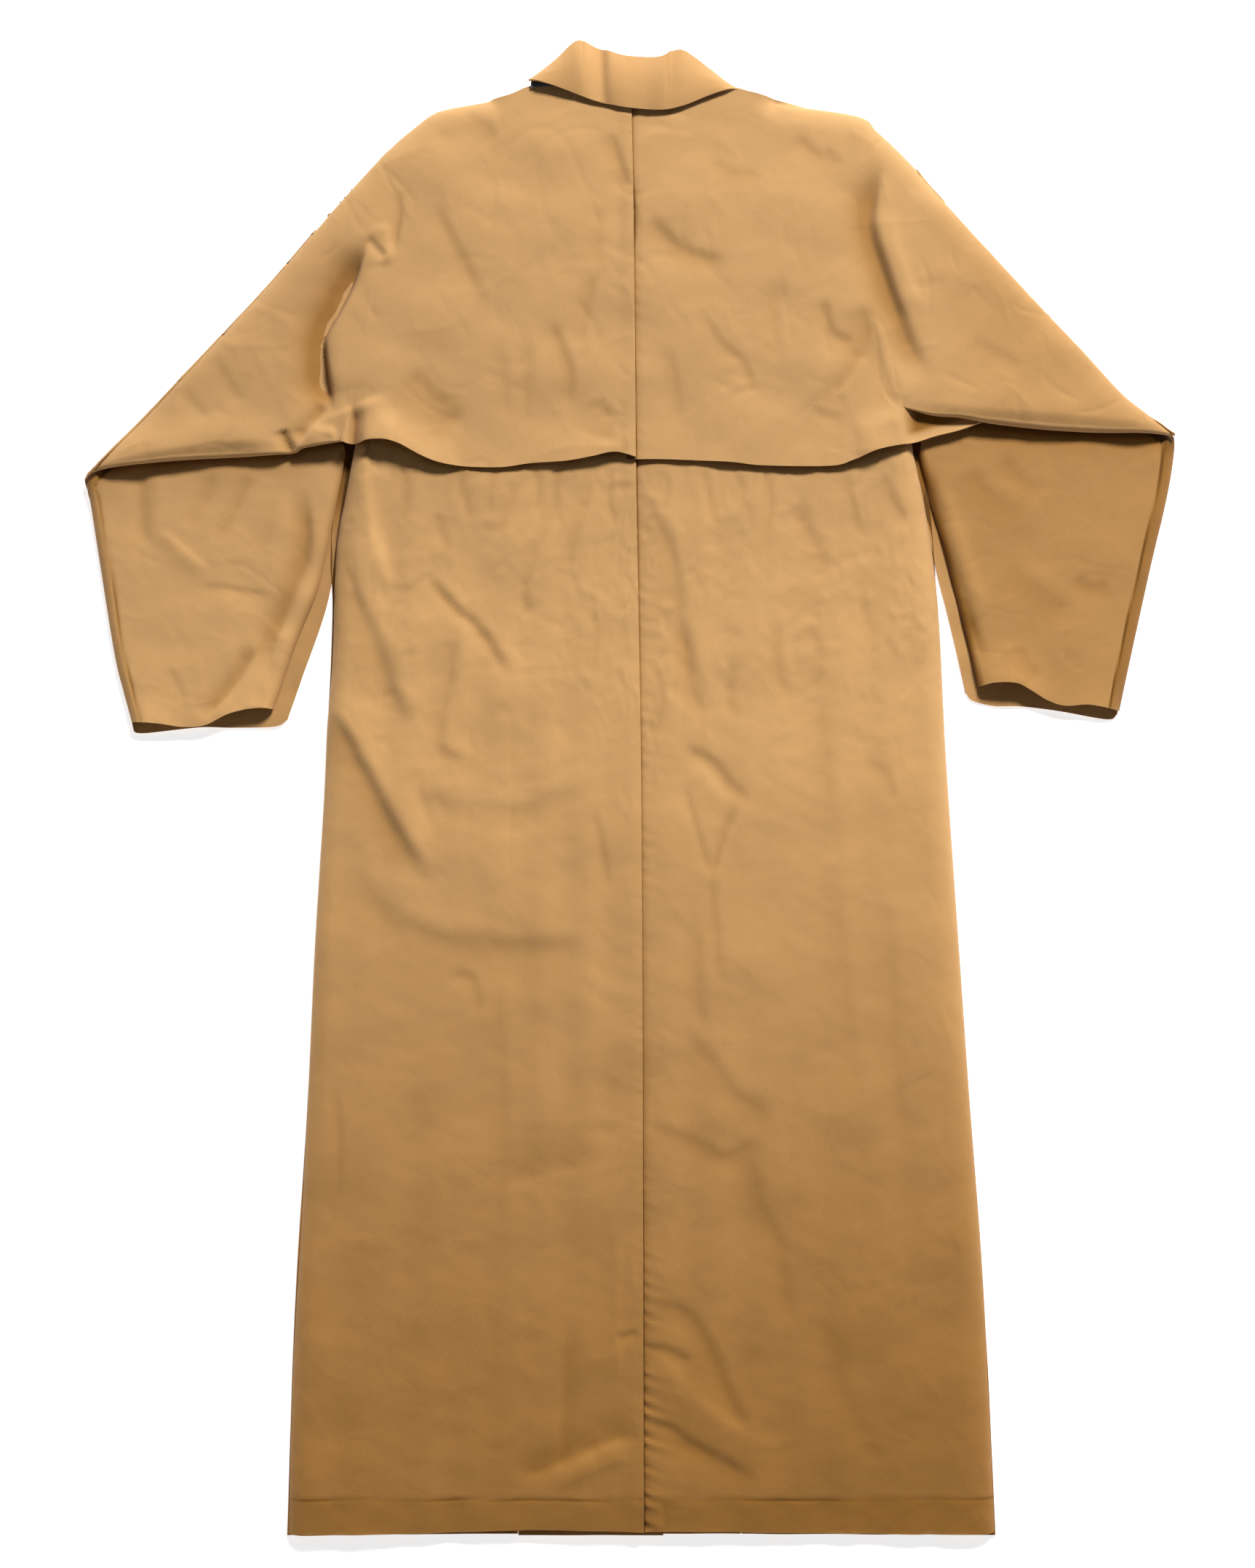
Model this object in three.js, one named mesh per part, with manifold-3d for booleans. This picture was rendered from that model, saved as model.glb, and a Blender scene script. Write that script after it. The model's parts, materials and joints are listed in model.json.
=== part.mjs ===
// A long storm-cape coat, laid flat on its front with the sleeves brought down beside the body.
// Millimetres, +Z up. The collar is towards +Y, the hem towards -Y and the wearer's left at -X.
// The origin is on the surface the coat lies on, midway between the elbows and midway along it.
// Each cloth piece is a thin plate at its own height in the pile, so the body, sleeves, pockets
// and neck stay open between their plies.
import * as THREE from "three";
import { mergeVertices } from "three/addons/utils/BufferGeometryUtils.js";
import Module from "manifold-3d";

const wasm = await Module();
wasm.setup();

// ---- body, as laid ----
const overallLength = 1328; // collar roll to the hem's corners
const chestWidth = 500; // flat, at the underarm
const hemWidth = 633; // flat, at the hem
const hemRise = 6; // the hem's middle lies this much above its corners
const shoulderWidth = 428; // shoulder tip to shoulder tip
const shoulderDrop = 81; // collar roll down to the shoulder tips
const shoulderCrown = 178; // centre out to where the shoulder line turns down
const armpitDrop = 361; // collar roll down to the underarm
const neckWidth = 190;
const neckDrop = 44; // collar roll down to the back neck seam
const frontNeckDrop = 150; // collar roll down to the front neck point

// ---- storm cape ----
const capeDrop = 369; // collar roll down to the cape's hem at the centre
const flapDepth = 70; // the part of the cape below its fold line, from the centre hem
const capeBow = 8; // the hem bows down by this much between centre and underarm

// ---- sleeves; the elbows lie at slightly different heights ----
const upperReach = 236; // underarm out to the elbow corner
const forearmLength = 228; // elbow corner to the cuff, along the outer edge
const cuffWidth = 138;
const cuffStandoff = 39; // body's side out to the cuff's inner corner
const sleeves = {
  left: { side: -1, elbowDrop: 28, cuffTilt: 2 },
  right: { side: 1, elbowDrop: -1, cuffTilt: 6 },
};
const tuckMargin = 2; // degrees that the tucked wedge keeps inside the sleeve's outer edge
const underarmFall = 6; // degrees from the crease down to the top of the underarm seam
const cuffFacingDepth = 25;

// ---- fronts, pockets and fastenings ----
const frontFold = 100; // centre front out to the line each front folds back on
const frontOverlap = 30; // each front edge passes the centre by this much
const facingWidth = 90;
const hemDepth = 32; // turned hem
const buttonCount = 5;
const buttonDiameter = 20;
const buttonThickness = 2;
const buttonPitch = 150;
const topButtonDrop = 190; // collar roll down to the top button
const pocketDrop = 640; // collar roll down to the top of the pocket slit
const pocketLength = 165;
const pocketSlitWidth = 24;
const pocketInset = 52; // side edge of the coat in to the slit
const weltWidth = 15;
const pocketBagDepth = 240;
const pocketBagWidth = chestWidth * 0.136; // from the slit towards the centre front

// ---- collar, neck facing and hanging loop ----
const collarSpan = 190; // tip to tip over the back
const collarDepth = 60; // roll line to the lower edge at the centre back
const collarEndDepth = 36; // roll line to the lower edge at the tips
const frontCollarInset = 24; // each front collar leaf stops this far from the centre
const facingDepth = 70;
const loopWidth = 56;
const loopDepth = 24;
const loopStrip = 6;
const loopThickness = 1.6;

// ---- cloth and clearances ----
const ply = 1; // cloth with its seam bulk
const plyGap = 0.4; // between plies that lie on each other
const edgeGap = 0.5; // between pieces that meet edge to edge
const seamBulk = 3; // width of a seam standing between two plies
const sleeveSpace = 7; // hollow between a forearm's two plies
const pocketSpace = 5;
const bodySpace = 9; // hollow left over the pockets, under the back
const capeSpace = 1.6; // under the cape
const collarSpace = 3; // between the cape and the under collar
const sleeveClearance = 4; // forearm to the body's side, at any bend

// ---- heights of the pile, each on the one below ----
const zFront = 0;
const zFlyFacing = zFront + ply + plyGap;
const zButton = zFlyFacing + ply + plyGap;
const zInnerEdge = zButton + buttonThickness + plyGap;
const zInnerFacing = zInnerEdge + ply + plyGap;
const zBagFront = zFront + ply + plyGap;
const zBagBack = zBagFront + ply + pocketSpace;
const zBack = Math.max(zInnerFacing, zBagBack) + ply + bodySpace;
const zBackLining = zBack - plyGap - ply;
const zLoop = zBackLining - plyGap - loopThickness;
const zCape = zBack + ply + capeSpace;
const zForearmBack = zFront + ply + sleeveSpace;
const zUpperFront = zForearmBack + ply + plyGap;
const zUnderCollar = zCape + ply + collarSpace;
const zCollar = zUnderCollar + ply + plyGap;
const zStandFront = zFront + ply + plyGap;

// ---- places that several pieces share ----
const topY = overallLength / 2;
const hemY = -overallLength / 2;
const neckY = topY - neckDrop;
const armpitY = topY - armpitDrop;
const capeHemY = topY - capeDrop;
const flapFoldY = capeHemY + flapDepth;
const hemCorner = [hemWidth / 2, hemY];
const armpit = [chestWidth / 2, armpitY];
const shoulder = [shoulderWidth / 2, topY - shoulderDrop];
const neckSide = [neckWidth / 2, neckY];
const shoulderBend = [shoulderCrown, neckY - neckDrop / 4];

// ---- cloths and hard parts ----
const cloth = new THREE.MeshStandardMaterial({ color: 0xb98a52, roughness: 0.85, metalness: 0 });
const lining = new THREE.MeshStandardMaterial({ color: 0x4b4a4d, roughness: 0.8, metalness: 0 });
const pocketing = new THREE.MeshStandardMaterial({ color: 0x8d7350, roughness: 0.9, metalness: 0 });
const horn = new THREE.MeshStandardMaterial({ color: 0x4a3526, roughness: 0.4, metalness: 0 });

const coat = new THREE.Group();

// A point on the line from a to b at height y.
function atHeight(a, b, y) {
  const share = (y - a[1]) / (b[1] - a[1]);
  return [a[0] + share * (b[0] - a[0]), y];
}

// The distance of point p from the line through a and b.
function distanceToLine(p, a, b) {
  const length = Math.hypot(b[0] - a[0], b[1] - a[1]);
  const cross = (b[0] - a[0]) * (p[1] - a[1]) - (b[1] - a[1]) * (p[0] - a[0]);
  return Math.abs(cross) / length;
}

// Points of a quadratic curve from a through the control point to b, without a itself.
function bow(a, control, b, steps = 6) {
  const curve = new THREE.QuadraticBezierCurve(
    new THREE.Vector2(...a),
    new THREE.Vector2(...control),
    new THREE.Vector2(...b),
  );
  return curve.getPoints(steps).slice(1).map((p) => [p.x, p.y]);
}

// A plate of cloth: the outline, mirrored for the left side, from height z up by its thickness.
function plate(name, side, outline, z, thickness, material, holes = []) {
  const toShape = (points) => points.map(([x, y]) => new THREE.Vector2(side * x, y));
  const shape = new THREE.Shape(toShape(outline));
  shape.holes = holes.map((hole) => new THREE.Path(toShape(hole)));
  const geometry = new THREE.ExtrudeGeometry(shape, { depth: thickness, bevelEnabled: false });
  const mesh = new THREE.Mesh(geometry, material);
  mesh.name = name;
  mesh.position.z = z;
  coat.add(mesh);
  return mesh;
}

// The outline of a straight band of one width, its first edge along a to b and the rest to its
// left. Both ends are drawn in by the inset.
function band(a, b, width, inset = 0) {
  const length = Math.hypot(b[0] - a[0], b[1] - a[1]);
  const along = [(b[0] - a[0]) / length, (b[1] - a[1]) / length];
  const corner = (from, run, rise) => [
    from[0] + run * along[0] - rise * along[1],
    from[1] + run * along[1] + rise * along[0],
  ];
  return [corner(a, inset, 0), corner(b, -inset, 0), corner(b, -inset, width), corner(a, inset, width)];
}

function toSolid(geometry) {
  const bare = geometry.clone();
  bare.deleteAttribute("normal");
  bare.deleteAttribute("uv");
  const merged = mergeVertices(bare, 1e-4);
  return new wasm.Manifold(
    new wasm.Mesh({
      numProp: 3,
      vertProperties: merged.attributes.position.array,
      triVerts: new Uint32Array(merged.index.array),
    }),
  );
}

function fromSolid(solid) {
  const mesh = solid.getMesh();
  const geometry = new THREE.BufferGeometry();
  geometry.setAttribute("position", new THREE.BufferAttribute(mesh.vertProperties, 3));
  geometry.setIndex(new THREE.BufferAttribute(mesh.triVerts, 1));
  geometry.computeVertexNormals();
  return geometry;
}

// The side edge of the body at height y, on the right side.
function sideAt(y) {
  return atHeight(hemCorner, armpit, y)[0];
}

// The hem's lower edge at x: a parabola from its raised middle down to the corner.
function hemAt(x) {
  return hemY + hemRise * (1 - (x / hemCorner[0]) ** 2);
}

// ---- back of the body ----
// Centre seam, hem curve, side edge, armhole line, shoulder and neck.
function backPanel(label, side) {
  const middle = edgeGap / 2;
  const outline = [
    [middle, hemAt(0)],
    ...bow([middle, hemAt(0)], [hemCorner[0] / 2, hemAt(0)], hemCorner),
    armpit,
    shoulder,
    ...bow(shoulder, shoulderBend, neckSide),
    [middle, neckY],
  ];
  plate(`${label}_back_panel`, side, outline, zBack, ply, cloth);
  const hemTop = hemAt(0) + hemDepth;
  const hem = [
    [seamBulk * 4 + edgeGap, hemAt(0)],
    [hemCorner[0] - seamBulk - edgeGap, hemY + edgeGap],
    [sideAt(hemTop) - seamBulk - edgeGap, hemTop],
    [seamBulk * 4 + edgeGap, hemTop],
  ];
  plate(`${label}_back_hem`, side, hem, zBackLining, ply, cloth);
  const seamSide = band([hemCorner[0], hemY + edgeGap], armpit, seamBulk);
  plate(`${label}_side_seam`, side, seamSide, zFront + ply + plyGap, zBack - ply - 2 * plyGap, cloth);
}

// The pressed-open allowance under the centre back seam.
function centreBackSeam() {
  const half = seamBulk * 4;
  const top = neckY - facingDepth - edgeGap;
  const outline = [
    [-half, hemAt(0) + edgeGap],
    [half, hemAt(0) + edgeGap],
    [half, top],
    [-half, top],
  ];
  plate("centre_back_seam", 1, outline, zBackLining, ply, cloth);
}

// ---- storm cape ----
// Above the fold line it belongs to the shoulders; below it the flap hangs free.
function cape(label, side) {
  const middle = edgeGap / 2;
  const inset = edgeGap;
  const foldX = atHeight(armpit, shoulder, flapFoldY)[0] - inset;
  const fixedPart = [
    [middle, flapFoldY + edgeGap / 2],
    [foldX, flapFoldY + edgeGap / 2],
    [shoulder[0] - inset, shoulder[1]],
    ...bow(shoulder, shoulderBend, neckSide),
    [middle, neckY],
  ];
  plate(`${label}_cape`, side, fixedPart, zCape, ply, cloth);
  const hemEnd = [armpit[0] - inset, armpit[1]];
  const flap = [
    [middle, capeHemY],
    ...bow([middle, capeHemY], [armpit[0] / 2, capeHemY - 2 * capeBow], hemEnd),
    [foldX, flapFoldY - edgeGap / 2],
    [middle, flapFoldY - edgeGap / 2],
  ];
  plate(`${label}_cape_flap`, side, flap, zCape, ply, cloth);
}

// ---- fronts ----
// The slit's corners, for the hole in the front and for the pieces that fit it.
function pocketSlit(inset = 0) {
  const top = topY - pocketDrop - inset;
  const bottom = topY - pocketDrop - pocketLength + inset;
  const outerTop = sideAt(top) - pocketInset - inset;
  const outerBottom = sideAt(bottom) - pocketInset - inset;
  const width = pocketSlitWidth - 2 * inset;
  return [
    [outerBottom - width, bottom],
    [outerBottom, bottom],
    [outerTop, top],
    [outerTop - width, top],
  ];
}

function frontPanel(label, side) {
  const foldX = frontFold + edgeGap / 2;
  const neckEdgeY = neckY - frontNeckDrop / 8;
  const outline = [
    [foldX, hemY],
    hemCorner,
    armpit,
    shoulder,
    ...bow(shoulder, shoulderBend, [foldX, neckEdgeY]),
  ];
  const slit = pocketSlit();
  plate(`${label}_front_panel`, side, outline, zFront, ply, cloth, [slit.slice().reverse()]);
  const hemTop = hemY + hemDepth;
  const hem = [
    [foldX + edgeGap, hemY + edgeGap],
    [hemCorner[0] - seamBulk - edgeGap, hemY + edgeGap],
    [sideAt(hemTop) - seamBulk - edgeGap, hemTop],
    [foldX + edgeGap, hemTop],
  ];
  plate(`${label}_front_hem`, side, hem, zFront + ply + plyGap, ply, cloth);
}

// The strip from the fold line past the centre, and the facing on its inner face.
function frontEdge(label, side, zEdge, zFacing, facingName) {
  const foldX = frontFold - edgeGap / 2;
  const neckPointY = topY - frontNeckDrop;
  const neckEdgeY = neckY - frontNeckDrop / 8;
  const outline = [
    [-frontOverlap, hemY],
    [foldX, hemY],
    [foldX, neckEdgeY],
    [-frontOverlap, neckPointY],
  ];
  plate(`${label}_front_edge`, side, outline, zEdge, ply, cloth);
  const facing = [
    [-frontOverlap + edgeGap, hemY + edgeGap],
    [-frontOverlap + facingWidth, hemY + edgeGap],
    [-frontOverlap + facingWidth, neckPointY],
    [-frontOverlap + edgeGap, neckPointY - edgeGap],
  ];
  plate(facingName, side, facing, zFacing, ply, cloth);
}

// Flat sew-through buttons down the centre front, each with two thread holes, on the inner front.
function buttons() {
  const bodyShape = new THREE.CylinderGeometry(
    buttonDiameter / 2,
    buttonDiameter / 2,
    buttonThickness,
    20,
  );
  const holeShape = new THREE.CylinderGeometry(1, 1, buttonThickness * 2, 8);
  const holeOffset = 2.4;
  const drilled = toSolid(bodyShape)
    .subtract(toSolid(holeShape.clone().translate(holeOffset, 0, 0)))
    .subtract(toSolid(holeShape.clone().translate(-holeOffset, 0, 0)));
  for (let i = 0; i < buttonCount; i += 1) {
    const button = new THREE.Mesh(fromSolid(drilled), horn);
    button.name = `front_button_${i + 1}`;
    button.rotation.x = Math.PI / 2;
    button.position.set(0, topY - topButtonDrop - i * buttonPitch, zButton + buttonThickness / 2);
    coat.add(button);
  }
}

// ---- pockets ----
function pocket(label, side) {
  const slit = pocketSlit(edgeGap);
  const welt = [
    [slit[1][0] - weltWidth, slit[1][1]],
    slit[1],
    slit[2],
    [slit[2][0] - weltWidth, slit[2][1]],
  ];
  plate(`${label}_pocket_welt`, side, welt, zFront, ply, cloth);
  const mouth = pocketSlit();
  const bagTop = mouth[3][1] + hemDepth / 2;
  const bagBottom = bagTop - pocketBagDepth;
  const slitInner = Math.min(mouth[0][0], mouth[3][0]);
  const slitOuter = Math.max(mouth[1][0], mouth[2][0]);
  const bagPly = (outerX) => [
    [slitInner - pocketBagWidth, bagBottom],
    [outerX, bagBottom],
    [outerX, bagTop],
    [slitInner - pocketBagWidth, bagTop],
  ];
  plate(`${label}_pocket_bag_front`, side, bagPly(slitInner - edgeGap), zBagFront, ply, pocketing);
  const outerX = slitOuter + weltWidth;
  plate(`${label}_pocket_bag_back`, side, bagPly(outerX), zBagBack, ply, pocketing);
  const zSeam = zBagFront + ply + plyGap;
  const inner = [
    [slitInner - pocketBagWidth + seamBulk, bagTop - seamBulk],
    [outerX - seamBulk, bagTop - seamBulk],
    [outerX - seamBulk, bagBottom + seamBulk],
    [slitInner - pocketBagWidth + seamBulk, bagBottom + seamBulk],
  ];
  const seamHeight = pocketSpace - 2 * plyGap;
  plate(`${label}_pocket_seam`, side, bagPly(outerX), zSeam, seamHeight, pocketing, [inner]);
}

// ---- sleeves ----
// The elbow corner and the directions that the upper sleeve and forearm share, on the right side.
// The forearm leans in from the elbow until its cuff stands off from the body's side.
function sleevePlan({ elbowDrop, cuffTilt }) {
  const elbow = [armpit[0] + upperReach, armpit[1] - elbowDrop];
  const toArmpit = Math.PI + Math.atan2(elbow[1] - armpit[1], elbow[0] - armpit[0]);
  const toShoulder = Math.PI + Math.atan2(elbow[1] - shoulder[1], elbow[0] - shoulder[0]);
  const reach =
    Math.min(
      distanceToLine(elbow, armpit, shoulder),
      distanceToLine(elbow, hemCorner, armpit),
    ) - sleeveClearance;
  const tilt = THREE.MathUtils.degToRad(cuffTilt);
  const cuffInnerX = sideAt(elbow[1] - forearmLength) + cuffStandoff;
  const lean = Math.asin((elbow[0] - cuffWidth * Math.cos(tilt) - cuffInnerX) / forearmLength);
  const cuffOuter = [
    elbow[0] - forearmLength * Math.sin(lean),
    elbow[1] - forearmLength * Math.cos(lean),
  ];
  const cuffInner = [
    cuffOuter[0] - cuffWidth * Math.cos(tilt),
    cuffOuter[1] + cuffWidth * Math.sin(tilt),
  ];
  return { elbow, toArmpit, toShoulder, reach, cuffOuter, cuffInner };
}

// A point at this angle and distance from the elbow.
function fromElbow({ elbow }, angle, distance) {
  return [elbow[0] + distance * Math.cos(angle), elbow[1] + distance * Math.sin(angle)];
}

// Both plies of the upper sleeve, from the armhole line out to the elbow, with the overarm seam.
function upperSleeve(label, side, plan) {
  const outline = [
    [armpit[0] + edgeGap, armpit[1]],
    plan.elbow,
    [shoulder[0] + edgeGap, shoulder[1]],
  ];
  plate(`${label}_upper_sleeve_back`, side, outline, zCape, ply, cloth);
  plate(`${label}_upper_sleeve_front`, side, outline, zUpperFront, ply, cloth);
  const seam = band(plan.elbow, shoulder, seamBulk, 3 * seamBulk);
  const seamHeight = zCape - zUpperFront - ply - 2 * plyGap;
  plate(`${label}_upper_overarm_seam`, side, seam, zUpperFront + ply + plyGap, seamHeight, cloth);
}

// Both plies of the forearm. A wedge of it is tucked under the upper sleeve, round an arc centred
// on the elbow, so that the sleeve straightens without a gap.
function forearm(label, side, plan) {
  const margin = THREE.MathUtils.degToRad(tuckMargin);
  const fall = THREE.MathUtils.degToRad(underarmFall);
  const wedgeEnd = plan.toShoulder + margin;
  const arcSteps = 8;
  const arc = [];
  for (let i = 0; i <= arcSteps; i += 1) {
    const angle = wedgeEnd + ((plan.toArmpit + fall - wedgeEnd) * i) / arcSteps;
    arc.push(fromElbow(plan, angle, plan.reach));
  }
  const outline = [plan.elbow, ...arc, plan.cuffInner, plan.cuffOuter];
  plate(`${label}_forearm_back`, side, outline, zForearmBack, ply, cloth);
  plate(`${label}_forearm_front`, side, outline, zFront, ply, cloth);
  const zSeam = zFront + ply + plyGap;
  const seamHeight = sleeveSpace - 2 * plyGap;
  const outerSeam = band(plan.cuffOuter, plan.elbow, seamBulk);
  plate(`${label}_forearm_overarm_seam`, side, outerSeam, zSeam, seamHeight, cloth);
  const underarmTop = arc[arcSteps];
  const innerSeam = band(underarmTop, plan.cuffInner, seamBulk);
  plate(`${label}_forearm_underarm_seam`, side, innerSeam, zSeam, seamHeight, cloth);
  cuffFacing(label, side, plan);
}

// The turned facing inside the cuff, on the back ply.
function cuffFacing(label, side, { cuffOuter, cuffInner }) {
  const share = (seamBulk + 2 * edgeGap) / cuffWidth;
  const along = (t) => [
    cuffOuter[0] + t * (cuffInner[0] - cuffOuter[0]),
    cuffOuter[1] + t * (cuffInner[1] - cuffOuter[1]),
  ];
  const outline = band(along(1 - 2 * share), along(2 * share), cuffFacingDepth);
  const zFacing = zForearmBack - plyGap - ply;
  plate(`${label}_cuff_facing`, side, outline, zFacing, ply, cloth);
}

// ---- collar ----
// A flattened band round the neck, open at the centre front, between the neck seam and the roll.
function collarStand() {
  const halfWidth = collarSpan / 2 - ply - edgeGap;
  const bottom = zStandFront;
  const top = zBack + ply + plyGap;
  const outerR = (top + ply - bottom) / 2;
  const innerR = outerR - ply;
  const middle = bottom + outerR;
  const run = halfWidth - outerR;
  const gap = frontCollarInset / 2;
  const ring = new THREE.Shape();
  ring.moveTo(gap, bottom);
  ring.lineTo(run, bottom);
  ring.absarc(run, middle, outerR, -Math.PI / 2, Math.PI / 2, false);
  ring.lineTo(-run, middle + outerR);
  ring.absarc(-run, middle, outerR, Math.PI / 2, -Math.PI / 2, false);
  ring.lineTo(-gap, bottom);
  ring.lineTo(-gap, bottom + ply);
  ring.lineTo(-run, bottom + ply);
  ring.absarc(-run, middle, innerR, -Math.PI / 2, Math.PI / 2, true);
  ring.lineTo(run, middle + innerR);
  ring.absarc(run, middle, innerR, Math.PI / 2, -Math.PI / 2, true);
  ring.lineTo(gap, bottom + ply);
  const depth = neckDrop - 2 * edgeGap;
  const geometry = new THREE.ExtrudeGeometry(ring, { depth, bevelEnabled: false, curveSegments: 8 });
  const stand = new THREE.Mesh(geometry, lining);
  stand.name = "collar_stand";
  stand.rotation.x = Math.PI / 2;
  stand.position.y = topY - edgeGap;
  coat.add(stand);
}

// The leaf that falls over the back: straight along the roll, its lower edge an arc.
function collarLeaf(name, z, inset, material) {
  const half = collarSpan / 2 - inset;
  const tipY = topY - collarEndDepth + inset;
  const lowY = topY - collarDepth + inset;
  const outline = [
    [half, tipY],
    [half * 0.55, topY - edgeGap],
    [-half * 0.55, topY - edgeGap],
    [-half, tipY],
    ...bow([-half, tipY], [0, 2 * lowY - tipY], [half, tipY], 12).slice(0, -1),
  ];
  plate(name, 1, outline.reverse(), z, ply, material);
}

// The two ends of the leaf that lie under the front of the neck.
function frontCollarLeaf(label, side) {
  const half = collarSpan / 2;
  const outline = [
    [frontCollarInset, topY - collarEndDepth],
    [half - edgeGap, topY - collarEndDepth],
    [half * 0.7, topY],
    [frontCollarInset, topY],
  ];
  plate(`${label}_front_collar_leaf`, side, outline, zFront, ply, cloth);
}

// ---- inside the neck ----
function neckFacing() {
  const low = neckY - facingDepth;
  const outline = [
    [-neckSide[0], neckY],
    ...bow([-neckSide[0], neckY], [-neckSide[0], low], [0, low]),
    ...bow([0, low], [neckSide[0], low], neckSide),
  ];
  plate("back_neck_facing", 1, outline, zBackLining, ply, lining);
}

// A flat loop of tape sewn at both ends under the facing.
function hangingLoop() {
  const half = loopWidth / 2;
  const inner = half - loopStrip;
  const top = neckY - edgeGap;
  const bottom = top - loopDepth;
  const outline = [
    [-half, top],
    [-half, bottom + loopStrip],
    ...bow([-half, bottom + loopStrip], [-half, bottom], [-inner, bottom], 3),
    [inner, bottom],
    ...bow([inner, bottom], [half, bottom], [half, bottom + loopStrip], 3),
    [half, top],
    [inner, top],
    [inner, bottom + loopStrip],
    [-inner, bottom + loopStrip],
    [-inner, top],
  ];
  plate("hanging_loop", 1, outline, zLoop, loopThickness, cloth);
}

for (const [label, sleeve] of Object.entries(sleeves)) {
  const plan = sleevePlan(sleeve);
  backPanel(label, sleeve.side);
  cape(label, sleeve.side);
  frontPanel(label, sleeve.side);
  pocket(label, sleeve.side);
  upperSleeve(label, sleeve.side, plan);
  forearm(label, sleeve.side, plan);
  frontCollarLeaf(label, sleeve.side);
}
centreBackSeam();
frontEdge("right", 1, zFront, zFlyFacing, "right_fly_facing");
frontEdge("left", -1, zInnerEdge, zInnerFacing, "left_front_facing");
buttons();
collarStand();
collarLeaf("under_collar", zUnderCollar, 1.5, cloth);
collarLeaf("collar_leaf", zCollar, 0, cloth);
neckFacing();
hangingLoop();

export default coat;
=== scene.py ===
import bpy
import json
import math
import numpy as np
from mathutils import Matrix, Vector


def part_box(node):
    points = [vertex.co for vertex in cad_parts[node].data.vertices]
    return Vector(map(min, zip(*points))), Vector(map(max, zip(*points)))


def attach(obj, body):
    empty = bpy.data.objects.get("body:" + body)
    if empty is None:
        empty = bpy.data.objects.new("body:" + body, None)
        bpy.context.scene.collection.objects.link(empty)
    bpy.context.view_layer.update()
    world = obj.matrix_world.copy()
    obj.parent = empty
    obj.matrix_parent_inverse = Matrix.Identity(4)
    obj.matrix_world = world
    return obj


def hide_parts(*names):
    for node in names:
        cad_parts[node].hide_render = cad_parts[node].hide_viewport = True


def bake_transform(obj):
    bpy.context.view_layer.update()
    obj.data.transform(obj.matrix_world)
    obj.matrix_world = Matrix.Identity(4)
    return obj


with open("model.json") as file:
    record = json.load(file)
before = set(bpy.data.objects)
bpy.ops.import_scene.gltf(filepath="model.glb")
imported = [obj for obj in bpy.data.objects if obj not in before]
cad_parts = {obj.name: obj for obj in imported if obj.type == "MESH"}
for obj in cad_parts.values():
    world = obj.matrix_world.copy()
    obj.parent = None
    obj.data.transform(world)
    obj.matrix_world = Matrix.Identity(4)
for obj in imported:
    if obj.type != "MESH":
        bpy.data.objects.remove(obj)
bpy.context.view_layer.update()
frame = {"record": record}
print("frame loaded")

mm = 0.001
coat = "coat_body"

# materials


class Shade:
    # wraps an output socket, so that shader sums are written as plain expressions
    def __init__(self, tree, socket):
        self.tree, self.socket = tree, socket

    def join(self, kind, other, swap=False):
        first, second = (other, self) if swap else (self, other)
        return addNode(self.tree, "ShaderNodeMath", {"operation": kind}, {0: first, 1: second})

    def __add__(self, other):
        return self.join("ADD", other)

    def __radd__(self, other):
        return self.join("ADD", other, True)

    def __sub__(self, other):
        return self.join("SUBTRACT", other)

    def __rsub__(self, other):
        return self.join("SUBTRACT", other, True)

    def __mul__(self, other):
        return self.join("MULTIPLY", other)

    def __rmul__(self, other):
        return self.join("MULTIPLY", other, True)


def addNode(tree, kind, settings, links, out=0):
    # any node: its settings first, then the values or links of its sockets
    node = tree.nodes.new(kind)
    for key, value in settings.items():
        setattr(node, key, value)
    for key, value in links.items():
        if isinstance(value, Shade):
            tree.links.new(value.socket, node.inputs[key])
        else:
            node.inputs[key].default_value = value
    return Shade(tree, node.outputs[out])


def ramp(tree, value, low, high):
    # 0 at low, 1 at high, smooth between
    settings = {"interpolation_type": "SMOOTHSTEP"}
    links = {"Value": value, "From Min": low, "From Max": high}
    return addNode(tree, "ShaderNodeMapRange", settings, links)


def mixColour(tree, factor, first, second):
    # first where factor is 0, second where it is 1
    return addNode(tree, "ShaderNodeMix", {"data_type": "RGBA"}, {0: factor, 6: first, 7: second}, 2)


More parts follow.
